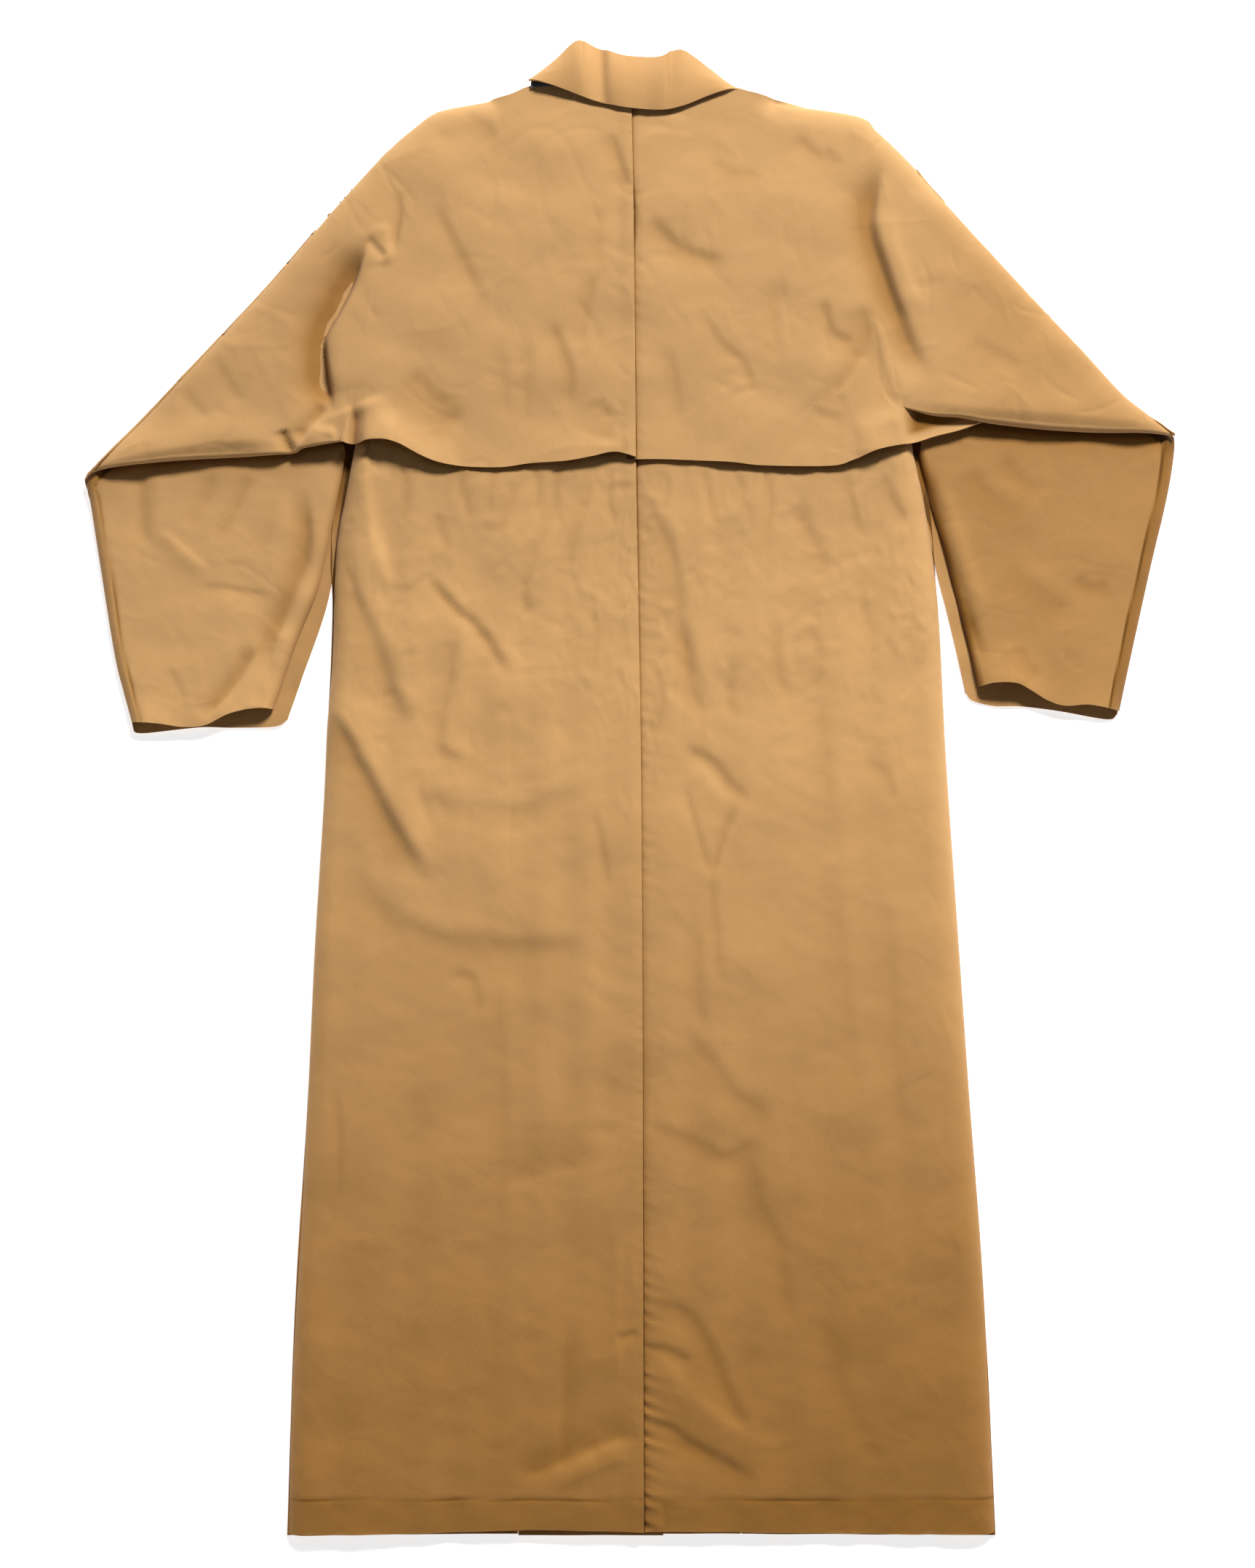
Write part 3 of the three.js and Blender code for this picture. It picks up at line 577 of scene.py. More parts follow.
def backPiece(side):
    left = side == "left"
    edge, roll = back[side], back[side + "Roll"]
    inner = [(x - (0 if left else back["seamWide"]), y) for x, y in reversed(seamLine)]
    inner[0] = back[side + "Hem"][-1 if left else 0]
    inner[-1] = back[side + "Top"][-1 if left else 0]
    sides = (edge, inner) if left else (inner, edge)
    flat = patch(back[side + "Hem"], back[side + "Top"], *sides, back["step"])
    x, y = flat[..., 0], flat[..., 1]
    z = backHeight(x, y)
    gap = nearest(x, y, edge, 60)[0]
    z = z + rollOff(gap, roll[0], roll[1]) * np.clip(z / (15 * mm), 0.55, 1.1)
    fromSeam = (seamX(y) - x) / mm if left else (x - seamX(y)) / mm
    paintedShade = np.zeros_like(z)
    if left:
        z = z + 0.8 * mm * np.exp(-(fromSeam / 12) ** 4) + pucker(x, y, 4, 0.2, 9, 7)
        z = z - 0.25 * mm * np.exp(-((fromSeam - 22) / 1.5) ** 2) * (y < -0.3)
    else:
        puckered = 0.35 + 0.65 * smooth((0.1 - y) / 0.3)
        z = z + pucker(x, y, 7, 0.85, 11) * puckered
        z = z - 1.9 * mm * np.exp(-(np.clip(fromSeam, 0, 99) / 3.5))
        # painted shade: a dark line in the seam beside the lap
        paintedShade = paintedShade + 0.9 * np.exp(-(np.clip(fromSeam, 0, 99) / 0.9) ** 2)
    hemLine = (y + 0.6645) / mm
    z = z - 0.55 * mm * np.exp(-((hemLine - back["hemDepth"]) / 1.3) ** 2)
    z = z + 0.35 * mm * np.exp(-((hemLine - 24) / 7) ** 2) * np.sin(x / 0.0075)
    z = np.maximum(z, 2.6 * mm)
    worn = np.clip(1 - hemLine / 3, 0, 1) * 0.4 + np.clip(1 - gap / 0.012, 0, 1) * 0.2
    # darker towards the bottom below the hem stitching, and painted shade in the stitch groove
    paintedShade = paintedShade + 0.22 * smooth((32 - hemLine) / 2) + 0.5 * np.exp(-((hemLine - 31) / 0.9) ** 2)
    # painted shadow under the cape's hem, and painted shade on the back under the cape
    underCape = np.clip(1 - nearest(x, y, cape[side + "Hem"], 60)[0] / 0.006, 0, 1)
    paintedShade = paintedShade + 0.55 * underCape + 0.15 * smooth((y - 0.3) / 0.05)
    # painted shade in the hollows of the folds
    paintedShade = paintedShade + np.clip(-folds(x, y, leftFolds if left else rightFolds) / (12 * mm), 0, 0.3)
    # painted shade: the lower right darker, as the light falls off there
    paintedShade = paintedShade + back["shaded"] * smooth(x / 0.25) * smooth((-0.1 - y) / 0.5)
    top = withHeight(flat, z)
    piece = shell(side + "_back", top, back["thick"], tan, worn, paintedShade)
    return piece, top


for side, width in (("left", 0.318), ("right", 0.334)):
    piece, top = backPiece(side)
    stands = [side + "_back_panel", side + "_back_hem", side + "_side_seam"]
    stands += ["centre_back_seam"] if side == "left" else []
    layOn(coat, piece, top, stands)
print("back made")

# cape and upper sleeves, which are one layer in two halves

upper = {
    "thick": 1.3,
    "step": 2.8,
    "heights": [(280, 20.5), (380, 21.5), (520, 21.5), (600, 20.5), (640, 19.5)],
    "leftRim": [(-486, 275), (-448, 316), (-386, 381), (-315, 458.5), (-270, 511), (-248, 536),
                (-229, 557), (-217, 570), *leftShoulder],
    "rightRim": [(486, 316), (476, 323), (443, 349), (414, 381), (353, 446), (293, 511),
                 (263.5, 543.5), (253, 556.5), (236, 574), *rightShoulder, (130, 614)],
    "leftSplit": [(-201, 584.5), (-204, 540), (-208, 500), (-217, 470), (-232, 430), (-246, 390),
                  (-250, 360), (-249, 339), (-252, 322), (-257, 310)],
    "rightSplit": [(219, 589.5), (218, 545), (217, 498), (219, 450), (223, 405), (230, 372), (242, 340)],
}
upperLeftFolds = [
    ("step", 4.6, 1.6, 15, [(-230, 492), (-238, 470), (-243, 456), (-255, 430), (-269, 406),
                            (-271, 394), (-267, 365), (-262, 334)]),
    ("groove", -6.4, 11, 9, [(-234, 484), (-248, 448), (-268, 410), (-273, 384), (-270, 352),
                             (-264, 326)]),
    ("groove", -6.4, 5.2, 6, [(-246, 262), (-246, 290), (-246, 312), (-245, 330), (-245, 346)]),
    ("ridge", 1.4, 7, 7, [(-252, 350), (-254, 325), (-256, 290)]),
    ("groove", -1.9, 3.0, 3, [(-234, 492), (-226, 484), (-216, 472)]),
    ("groove", -1.5, 4, 4, [(-203, 534), (-206, 505), (-210, 476)]),
    ("ridge", 1.6, 8, 8, [(-220, 505), (-218, 490), (-214, 465)]),
    ("groove", -1.2, 5, 5, [(-176, 524), (-150, 475), (-126, 427)]),
    ("groove", -1.6, 6, 6, [(-19, 586), (-9, 555), (0, 530)]),
    ("groove", -1.3, 5, 5, [(-30, 460), (-38, 430), (-46, 390)]),
    ("groove", -1.6, 5, 5, [(-72, 420), (-53, 370), (-56, 336)]),
    ("groove", -2.0, 15, 15, [(-202, 372), (-172, 345), (-146, 322)]),
    ("groove", -3.0, 4.5, 4, [(-270, 343), (-283, 326), (-296, 308)]),
    ("groove", -4.0, 3.6, 4, [(-309, 322), (-305, 312), (-298, 298)]),
    ("ridge", 5.6, 13, 15, [(-306, 312), (-350, 312), (-420, 303), (-500, 284)]),
    ("ridge", 3.0, 9, 9, [(-290, 322), (-275, 316), (-258, 316)]),
    ("ridge", 3.4, 16, 16, [(-232, 350), (-222, 325), (-205, 318)]),
    ("groove", -0.9, 5, 5, [(-370, 388), (-358, 365), (-342, 340)]),
    ("groove", -0.8, 5, 5, [(-398, 362), (-388, 345), (-374, 328)]),
    ("groove", -0.8, 6, 6, [(-119, 405), (-112, 365), (-108, 325)]),
    ("groove", -0.9, 5, 5, [(-88, 400), (-92, 360), (-90, 320)]),
    ("groove", -1.0, 8, 8, [(-30, 350), (-20, 325), (-22, 305)]),
    ("groove", -0.8, 6, 6, [(-25, 520), (-30, 490), (-24, 460)]),
    ("groove", -1.0, 7, 7, [(-150, 600), (-130, 590), (-118, 575)]),
]
upperRightFolds = [
    ("groove", -4.6, 9, 9, [(222, 562), (214, 525), (212, 498), (222, 465), (234, 430), (245, 402),
                            (266, 358)]),
    ("step", 2.2, 4.0, 14, [(224, 556), (219, 525), (218, 498), (228, 465), (241, 430), (254, 402)]),
    ("ridge", 1.6, 9, 9, [(232, 520), (232, 490), (244, 455), (258, 420)]),
    ("groove", -1.7, 7, 7, [(206, 432), (210, 405), (205, 378)]),
    ("groove", -1.7, 5, 5, [(206, 392), (195, 370), (178, 348)]),
    ("groove", -1.6, 5, 5, [(174, 438), (178, 408), (202, 396)]),
    ("step", 1.8, 6.0, 16, [(214, 428), (222, 392), (232, 362), (246, 334)]),
    ("groove", -1.9, 7, 7, [(14, 510), (48, 479), (90, 467)]),
    ("groove", -1.0, 4.5, 4, [(62, 428), (80, 398), (100, 380), (112, 350)]),
    ("groove", -1.3, 7, 7, [(146, 582), (168, 562), (184, 570)]),
    ("groove", -0.7, 5, 5, [(168, 358), (181, 348), (194, 347)]),
    ("groove", -0.7, 5, 5, [(160, 340), (175, 332), (190, 331)]),
    ("ridge", 4.6, 16, 16, [(500, 322), (440, 331), (360, 338), (300, 342), (236, 350)]),
    ("groove", -0.8, 6, 6, [(70, 560), (90, 548), (118, 545)]),
    ("groove", -0.8, 6, 6, [(30, 400), (40, 360), (44, 320)]),
    ("groove", -0.9, 6, 6, [(140, 455), (128, 420), (134, 380)]),
    ("groove", -0.9, 8, 8, [(300, 400), (330, 385), (350, 370)]),
    ("ridge", 2.2, 14, 14, [(196, 318), (222, 322), (246, 330)]),
]


def upperHeight(x, y):
    # one height for both halves of each side, so that cape and sleeve meet without a step
    heights = np.array(upper["heights"], float) * mm
    left = np.mean(x) < 0
    z = np.interp(y, heights[:, 0], heights[:, 1]) + 0 * x
    z = z + folds(x, y, upperLeftFolds if left else upperRightFolds)
    z = z + ripple(x, y, 12, 74, 0.6) + ripple(x, y, 15, 28, 0.08) + creases(x, y, 63, 70, 0.5)
    out = smooth((np.abs(x) - 0.21) / 0.24)
    z = z - 4.0 * mm * out
    gap = nearest(x, y, upper["leftRim" if left else "rightRim"], 70)[0]
    rolled = z + rollOff(gap, 22, 11) * (1 - 0.45 * out)
    return np.maximum(rolled, 10.9 * mm * out + 6 * mm * (1 - out)), gap


def capePiece(side):
    left = side == "left"
    out = -1 if left else 1
    down = [(px + out * cape["lap"], py) for px, py in reversed(upper[side + "Split"])]
    if left:
        outer = [(-257, 310)] + [(px + 3, py) for px, py in down[1:-1]] + [cape["leftTop"][0]]
    else:
        outer = [(314, 328), (300, 338), (276, 346), (256, 352)] + down[1:-1] + [cape["rightTop"][-1]]
    inner = [(x - (0 if left else 8), y) for x, y in reversed(seamLine) if 296 < y < 610]
    inner = [cape[side + "Hem"][-1 if left else 0]] + inner + [cape[side + "Top"][-1 if left else 0]]
    sides = (outer, inner) if left else (inner, outer)
    flat = patch(cape[side + "Hem"], cape[side + "Top"], *sides, upper["step"])
    x, y = flat[..., 0], flat[..., 1]
    z, rim = upperHeight(x, y)
    gap = nearest(x, y, cape[side + "Hem"], 60)[0]
    lift = np.array(cape[side + "Lift"], float) * mm
    up = np.interp(x, lift[:, 0], lift[:, 1])
    z = z + up * np.exp(-(gap / (cape["hemReach"] * mm)) ** 1.4)
    z = z + 0.3 * mm * np.sin(x / 0.011) * np.exp(-gap / 0.02)
    fromSeam = (seamX(y) - x) / mm if left else (x - seamX(y)) / mm
    slit = np.exp(-((y - 0.51) / 0.024) ** 4)
    # painted shade in the hollows of the folds
    paintedShade = np.clip(-folds(x, y, upperLeftFolds if left else upperRightFolds) / (14 * mm), 0, 0.45)
    if left:
        z = z + (0.8 + 0.8 * slit) * mm * np.exp(-(fromSeam / 10) ** 4) + pucker(x, y, 2, 0.16, 9, 7)
    else:
        z = z + pucker(x, y, 9, 0.3, 8) * smooth((0.6 - y) / 0.2)
        z = z - (1.7 + 1.6 * slit) * mm * np.exp(-(np.clip(fromSeam, 0, 99) / 3.5))
        # painted shade: a dark line in the seam beside the lap, wider at the slit
        paintedShade = paintedShade + 0.9 * np.exp(-(np.clip(fromSeam, 0, 99) / (0.9 + 1.2 * slit)) ** 2)
    line = np.array(upper[side + "Split"][::-1], float) * mm
    past = out * (x - np.interp(y, line[:, 1], line[:, 0]))
    z = z - 0.3 * mm * smooth(past / (1.0 * mm)) * (y > line[0, 1])
    if not left:
        below = smooth((x / mm - 240) / 16) * smooth((350 - y / mm) / 12)
        z = z * (1 - below) + (14.5 + 2.5 * np.exp(-gap / 0.006)) * mm * below
        # painted shadow on the cape's corner under the sleeve's crease
        paintedShade = paintedShade + 0.6 * below * smooth((gap / mm - 5) / 6)
    worn = np.clip(1 - gap / 0.003, 0, 1) * 0.35 + np.clip(1 - rim / 0.012, 0, 1) * 0.2
    top = withHeight(flat, z)
    return shell(side + "_cape_cloth", top, upper["thick"], tan, worn, paintedShade), top


sleeve = {
    "leftCrease": [(-486, 276), (-471.5, 285.5), (-400, 293.5), (-340, 297), (-299, 300), (-290, 304),
                   (-257, 309.5)],
    "rightCrease": [(241, 340), (268, 333), (293, 331), (313, 327.5), (335, 324.5), (370, 321),
                    (419, 318.5), (461, 318), (486, 316)],
    "leftRoll": [(0, 1.2), (0.1, 3), (0.35, 4.6), (0.65, 4.4), (0.82, 2.2), (0.9, 3.2), (1, 2.0)],
    "rightRoll": [(0, 0.8), (0.12, 3.0), (0.35, 5.4), (0.7, 5.6), (0.92, 3.6), (1, 1.8)],
    # painted shade: the outer part of the right sleeve made darker
    "shaded": 0.15,
    "underShare": 0.72,
    "underZ": 9.8,
}


def sleevePiece(side):
    # the top ply, then round the crease in half a turn, then back beneath as the under ply
    left = side == "left"
    crease, split, rim = sleeve[side + "Crease"], upper[side + "Split"], upper[side + "Rim"]
    if left:
        shoulder = [p for p in rim if -250 < p[0] < -200]
        outer = [crease[0]] + [p for p in rim if -480 < p[0] <= -246]
        inner = [crease[-1]] + list(reversed(split))
        flat = patch(crease, shoulder, outer, inner, upper["step"])
    else:
        shoulder = [p for p in reversed(rim) if 218 < p[0] < 264]
        outer = [crease[-1]] + [p for p in rim if 263 < p[0] < 480]
        inner = list(reversed(split))
        flat = patch(crease, shoulder, inner, outer, upper["step"])
    cols = flat.shape[1]
    share = crowded(cols)
    rolled = np.array(sleeve[side + "Roll"], float)
    radius = np.interp(share, rolled[:, 0], rolled[:, 1]) * mm
    run = np.gradient(flat[0], axis=0)
    run /= np.linalg.norm(run, axis=1, keepdims=True)
    outward = np.stack([run[:, 1], -run[:, 0]], 1)
    fade = np.exp(-np.linspace(0, 1, flat.shape[0]) * 14)[:, None, None]
    flat = flat - outward[None] * radius[None, :, None] * fade
    x, y = flat[..., 0], flat[..., 1]
    z, gap = upperHeight(x, y)
    top = withHeight(flat, z)
    edge = top[0]
    turn = np.linspace(0, math.pi, 14)[1:]
    bend = np.stack([edge[None, :, 0] + outward[None, :, 0] * radius * np.sin(turn)[:, None],
                     edge[None, :, 1] + outward[None, :, 1] * radius * np.sin(turn)[:, None],
                     edge[None, :, 2] - radius * (1 - np.cos(turn))[:, None]], axis=-1)
    deep = int(sleeve["underShare"] * len(flat))
    under = top[1:deep].copy()
    low = np.minimum(under[..., 2] - 1.0 * mm, sleeve["underZ"] * mm)
    ease = smooth(np.linspace(0, 1, deep - 1) / 0.3)[:, None]
    under[..., 2] = bend[-1, None, :, 2] * (1 - ease) + low * ease
    whole = np.concatenate([under[::-1], bend[::-1], top], axis=0)
    worn = np.concatenate([np.zeros((deep - 1, cols)), np.full((13, cols), 0.1),
                           np.clip(1 - gap / 0.012, 0, 1) * 0.2])
    # painted shade in the hollows of the folds and on the right sleeve's outer part
    foldAndSideShade = np.clip(-folds(x, y, upperLeftFolds if left else upperRightFolds) / (14 * mm), 0, 0.45)
    foldAndSideShade = foldAndSideShade + sleeve["shaded"] * smooth((x - 0.24) / 0.1)
    paintedShade = np.concatenate([np.zeros((deep - 1 + 13, cols)), foldAndSideShade])
    return shell(side + "_upper_sleeve", whole, upper["thick"], tan, worn, paintedShade), whole


for side in ("left", "right"):
    piece, top = capePiece(side)
    bend = [(0, y * mm, 0.021) for y in cape["bend"]]
    layOn(("cape_flap", *bend), piece, top,
          [side + "_cape", side + "_cape_flap"])
    piece, top = sleevePiece(side)
    layOn(coat, piece, top,
          [side + "_upper_sleeve_back", side + "_upper_sleeve_front", side + "_upper_overarm_seam"])
print("cape and upper sleeves made")

# forearms

forearm = {
    # painted shade: the right forearm made darker all over
    "shaded": 0.3,
    "thick": 1.3,
    "step": 2.6,
    "height": 9.3,
    "inSleeve": 8.2,
    "leftOuter": [(-446, 60.6), (-454, 90), (-462, 124), (-476, 211.5), (-484, 262), (-487.5, 275),
                  (-485, 281), (-473, 293), (-427, 333), (-373, 389), (-329, 433)],
    "leftInner": [(-319, 72.4), (-300, 129), (-278, 184), (-266, 240), (-254, 302)],
    "leftCuff": [(-446, 60.6), (-432, 60.6), (-415, 58.7), (-399, 56.5), (-380, 58), (-360, 67.5),
                 (-344, 72), (-327.5, 73.5), (-319, 72.4)],
    "leftTop": [(-329, 433), (-298, 402), (-272, 355), (-254, 302)],
    "leftMouth": [(-446, 1.0), (-432, 3.4), (-415, 2.4), (-399, 0), (-382, 0.4), (-362, 3.6),
                  (-340, 5.2), (-325, 3.0), (-319, 0)],
    "leftLow": [(-445, 58), (-440, 51), (-399, 55), (-380, 56.5), (-355, 56), (-318, 57), (-307, 63)],
    "leftLowInner": [(-307, 63), (-294.5, 99), (-271, 168), (-262, 230), (-253, 300)],
    "leftLowTop": [(-470, 270), (-400, 270), (-330, 282), (-253, 300)],
    "leftLowOuter": [(-445, 58), (-454, 95), (-462, 150), (-470, 270)],
    "rightOuter": [(438.7, 71), (450, 124), (467, 201), (480, 256), (486.5, 292), (487.5, 314),
                   (479, 322), (437, 352), (377, 412), (335, 455)],
    "rightInner": [(312.4, 92.8), (299, 145), (285, 201), (270, 255), (259, 300)],
    "rightCuff": [(312.4, 92.8), (326, 96), (345, 95.6), (359, 88.7), (373, 80.5), (389, 75.5),
                  (411, 76.4), (438.7, 71)],
    "rightTop": [(259, 300), (270, 370), (298, 428), (335, 455)],
    "rightMouth": [(312, 0), (322, 3.6), (340, 6.4), (356, 4.6), (373, 1.2), (390, 0.2), (412, 2.0),
                   (430, 2.4), (438, 0.4)],
    "rightLow": [(301, 88), (307, 80.5), (326, 75.5), (351, 75), (384, 71), (428, 63.5), (437, 68)],
    "rightLowInner": [(301, 88), (288, 145), (274, 201), (263, 255), (254.5, 300)],
    "rightLowTop": [(254.5, 300), (330, 290), (400, 285), (474, 285)],
    "rightLowOuter": [(437, 68), (448, 124), (462, 201), (474, 285)],
}
forearmFolds = {
    "left": [
        ("groove", -1.7, 5, 5, [(-436, 292), (-433, 255), (-432, 215)]),
        ("ridge", 0.9, 8, 8, [(-422, 290), (-420, 255), (-424, 215)]),
        ("groove", -1.5, 4.5, 4, [(-337, 285), (-352, 250), (-370, 218)]),
        ("groove", -1.2, 5, 5, [(-368, 284), (-382, 255), (-393, 230)]),
        ("ridge", 1.3, 5, 5, [(-420, 233), (-400, 214), (-376, 193)]),
        ("groove", -3.6, 6.5, 6, [(-292, 272), (-289, 215), (-304, 172), (-320, 132), (-328, 98)]),
        ("groove", -2.8, 5, 5, [(-334, 130), (-352, 98), (-382, 62)]),
        ("ridge", 1.2, 6, 6, [(-305, 150), (-318, 110), (-326, 80)]),
        ("groove", -0.9, 4, 4, [(-388, 182), (-355, 179), (-318, 173)]),
        ("groove", -0.8, 6, 6, [(-318, 265), (-322, 230), (-334, 205)]),
        ("groove", -0.8, 4, 4, [(-412, 110), (-402, 92), (-398, 76)]),
    ],
    "right": [
        ("groove", -3.2, 7, 7, [(262, 300), (279, 232), (293, 185), (318, 108)]),
        ("ridge", 1.6, 9, 9, [(276, 280), (296, 215), (318, 150)]),
        ("groove", -0.9, 10, 10, [(300, 290), (320, 262), (360, 244)]),
        ("groove", -0.8, 7, 7, [(330, 300), (352, 275), (372, 268)]),
        ("groove", -0.9, 6, 6, [(395, 190), (412, 180), (430, 184)]),
        ("groove", -0.9, 9, 9, [(345, 130), (352, 112), (366, 98)]),
        ("groove", -0.7, 12, 12, [(330, 200), (362, 178), (396, 150)]),
    ],
}


def forearmHeight(side, x, y):
    z = forearm["height"] * mm + folds(x, y, forearmFolds[side])
    z = z + ripple(x, y, 21 if side == "left" else 22, 60, 0.4) + ripple(x, y, 23, 24, 0.06)
    z = z + creases(x, y, 66, 60, 0.35)
    return z


def forearmPiece(side):
    left = side == "left"
    outer, inner = forearm[side + "Outer"], forearm[side + "Inner"]
    sides = (outer, inner) if left else (inner, outer)
    flat = patch(forearm[side + "Cuff"], forearm[side + "Top"], *sides, forearm["step"])
    x, y = flat[..., 0], flat[..., 1]
    z = forearmHeight(side, x, y)
    gap = nearest(x, y, outer, 60)[0]
    innerGap = nearest(x, y, inner, 50)[0]
    cuffGap = nearest(x, y, forearm[side + "Cuff"], 50)[0]
    # the overarm seam: a sunk line 10 mm in, the allowance raised beside it
    seam = 10.0 if left else 11.0
    z = z - 1.0 * mm * np.exp(-((gap / mm - seam) / 0.9) ** 2)
    z = z + 0.5 * mm * np.exp(-((gap / mm - seam + 4) / 3.2) ** 2)
    z = z + rollOff(gap, 9 if left else 17, 6.5) + rollOff(innerGap, 8 if left else 6, 5.0)
    mouth = np.array(forearm[side + "Mouth"], float) * mm
    z = z + np.interp(x, mouth[:, 0], mouth[:, 1]) * np.exp(-(cuffGap / 0.022) ** 1.5)
    edge, sign, _ = nearest(x, y, sleeve[side + "Crease"], 50)
    inSleeve = smooth((edge * sign / mm + 4) / 6)
    z = z * (1 - inSleeve) + np.minimum(z, forearm["inSleeve"] * mm) * inSleeve
    z = np.maximum(z, 3.2 * mm)
    worn = np.clip(1 - cuffGap / 0.003, 0, 1) * 0.35
    below = np.clip(edge / mm, 0, 99)
    # painted shade: in the overarm seam's groove and out to the edge, under the sleeve's crease, by the
    # inner slit, in fold hollows, and over the right forearm
    paintedShade = 0.55 * np.exp(-((gap / mm - seam) / 0.8) ** 2) + 0.22 * smooth((seam - gap / mm) / 1.5)
    paintedShade = paintedShade + 0.55 * np.exp(-below / 7) + 0.25 * np.clip(1 - innerGap / 0.006, 0, 1)
    paintedShade = paintedShade + np.clip(-folds(x, y, forearmFolds[side]) / (12 * mm), 0, 0.3)
    paintedShade = paintedShade + forearm["shaded"] * (0 if left else 1)
    top = withHeight(flat, z)
    return shell(side + "_forearm", top, forearm["thick"], tan, worn, paintedShade), top


def forearmLow(side):
    # the ply that lies on the surface, a little wider than the one over it
    left = side == "left"
    outer, inner = forearm[side + "LowOuter"], forearm[side + "LowInner"]
    sides = (outer, inner) if left else (inner, outer)
    flat = patch(forearm[side + "Low"], forearm[side + "LowTop"], *sides, 4.0)
    x, y = flat[..., 0], flat[..., 1]
    gap = nearest(x, y, inner, 50)[0]
    z = 1.7 * mm + np.clip(ripple(x, y, 31, 40, 0.25), -0.3 * mm, 1) + 0.8 * mm * np.exp(-gap / 0.004)
    # painted shade: darker all over, and more so towards the top, under the sleeve
    paintedShade = 0.15 + 0.5 * smooth((y - 0.2) / 0.08)
    top = withHeight(flat, z)
    return shell(side + "_forearm_low", top, 1.2, tan, None, paintedShade), top


def cuffFacing(side):
    # the turned strip inside the cuff, just under the upper ply
    left = side == "left"
    cuff = forearm[side + "Cuff"]
    sign = -1 if left else 1
    raised = [(px - sign * 3, py + 24) for px, py in cuff]
    first, last = [cuff[0], raised[0]], [cuff[-1], raised[-1]]
    flat = patch(cuff, raised, first, last, 3.0)
    flat = flat + np.array([0, 0.6 * mm])
    x, y = flat[..., 0], flat[..., 1]
    outerGap = nearest(x, y, forearm[side + "Outer"], 60)[0]
    innerGap = nearest(x, y, forearm[side + "Inner"], 50)[0]
    cuffGap = nearest(x, y, cuff, 50)[0]
    z = forearmHeight(side, x, y) + rollOff(outerGap, 9 if left else 17, 6.0)
    z = z + rollOff(innerGap, 8 if left else 6, 4.6)
    mouth = np.array(forearm[side + "Mouth"], float) * mm
    z = z + np.interp(x, mouth[:, 0], mouth[:, 1]) * np.exp(-(cuffGap / 0.022) ** 1.5) - 1.8 * mm
    top = withHeight(flat, np.maximum(z, 3.0 * mm))
    # in the darker copy of the tan cloth, as painted shade
    return shell(side + "_cuff_strip", top, 0.8, tanShadedCopy, None), top


elbowPly = {
    "height": 5.6,
    "left": ([(-484, 262), (-400, 276), (-330, 286), (-262, 292)],
             [(-470, 287), (-427, 330), (-373, 386), (-332, 428)],
             [(-484, 262), (-484, 272), (-470, 287)],
             [(-262, 292), (-268, 350), (-296, 400), (-332, 428)],
             (-376, 294), (-400, 376)),
    "right": ([(262, 300), (330, 300), (400, 298), (484, 292)],
              [(338, 450), (377, 409), (437, 349), (474, 320)],
              [(262, 300), (272, 372), (300, 424), (338, 450)],
              [(484, 292), (485, 306), (474, 320)],
              (376, 312), (396, 392)),
}


def elbowPiece(side):
    # the ply that is folded away above the forearm, between sleeve and forearm
    low, high, first, last, start, end = elbowPly[side]
    flat = patch(low, high, first, last, 4.0)
    top = withHeight(flat, elbowPly["height"] * mm + ripple(flat[..., 0], flat[..., 1], 81, 60, 0.15))
    # painted shade: the whole ply darker, as it lies between sleeve and forearm
    piece = shell(side + "_elbow_ply", top, 0.8, tan, None, 0.3 + 0 * flat[..., 0])
    return piece, top, (start[0] * mm, start[1] * mm, 0.006), (end[0] * mm, end[1] * mm, 0.006)


for side in ("left", "right"):
    body = side + "_forearm"
    piece, top, start, end = elbowPiece(side)
    layOn((body, start, end), piece, top, places=4)
    piece, top = forearmPiece(side)
    layOn(body, piece, top,
          [body + "_back", body + "_overarm_seam", body + "_underarm_seam"])
    piece, top = forearmLow(side)
    layOn(body, piece, top, [body + "_front"])
    piece, top = cuffFacing(side)
    layOn(body, piece, top, [side + "_cuff_facing"], places=4)
print("forearms made")

# collar

collar = {
    "thick": 1.6,
    "turn": (652, 624),
    "low": [(-90, 631), (-70, 625.5), (-54, 620), (-34, 612.5), (-16, 608), (1.6, 605), (29, 603.5),
            (48, 607.5), (70, 616), (90, 622.5), (104, 622)],
    "roll": [(-90, 633), (-68, 650), (-47, 667.5), (-30, 663), (-8, 655), (15, 653), (29, 653.5),
             (37, 658), (50, 658), (72, 643), (90, 630), (104, 624)],
}
collarFolds = [
    ("groove", -5.5, 6.5, 7, [(-28, 690), (-25, 650), (-23, 612)]),
    ("step", 1.8, 3.5, 12, [(-26, 680), (-24, 650), (-24, 612)]),
    ("ridge", 1.8, 8, 8, [(-46, 668), (-44, 640), (-40, 618)]),
    ("ridge", 1.8, 5, 5, [(31, 660), (29, 635), (31, 602)]),
    ("groove", -1.2, 9, 9, [(14, 656), (12, 635), (16, 606)]),
    ("groove", -1.0, 8, 8, [(62, 652), (60, 632), (64, 612)]),
]
flat = patch(collar["low"], collar["roll"], [(-90, 631), (-90, 633)], [(104, 622), (104, 624)], 1.8)
x, y = flat[..., 0], flat[..., 1]
lowGap, rollGap = nearest(x, y, collar["low"], 60)[0], nearest(x, y, collar["roll"], 60)[0]
span = np.clip((x + 0.09) / 0.194, 0, 1)
bulge = np.sqrt(np.clip(np.sin(math.pi * np.clip(span, 0.02, 0.98)), 0, 1))
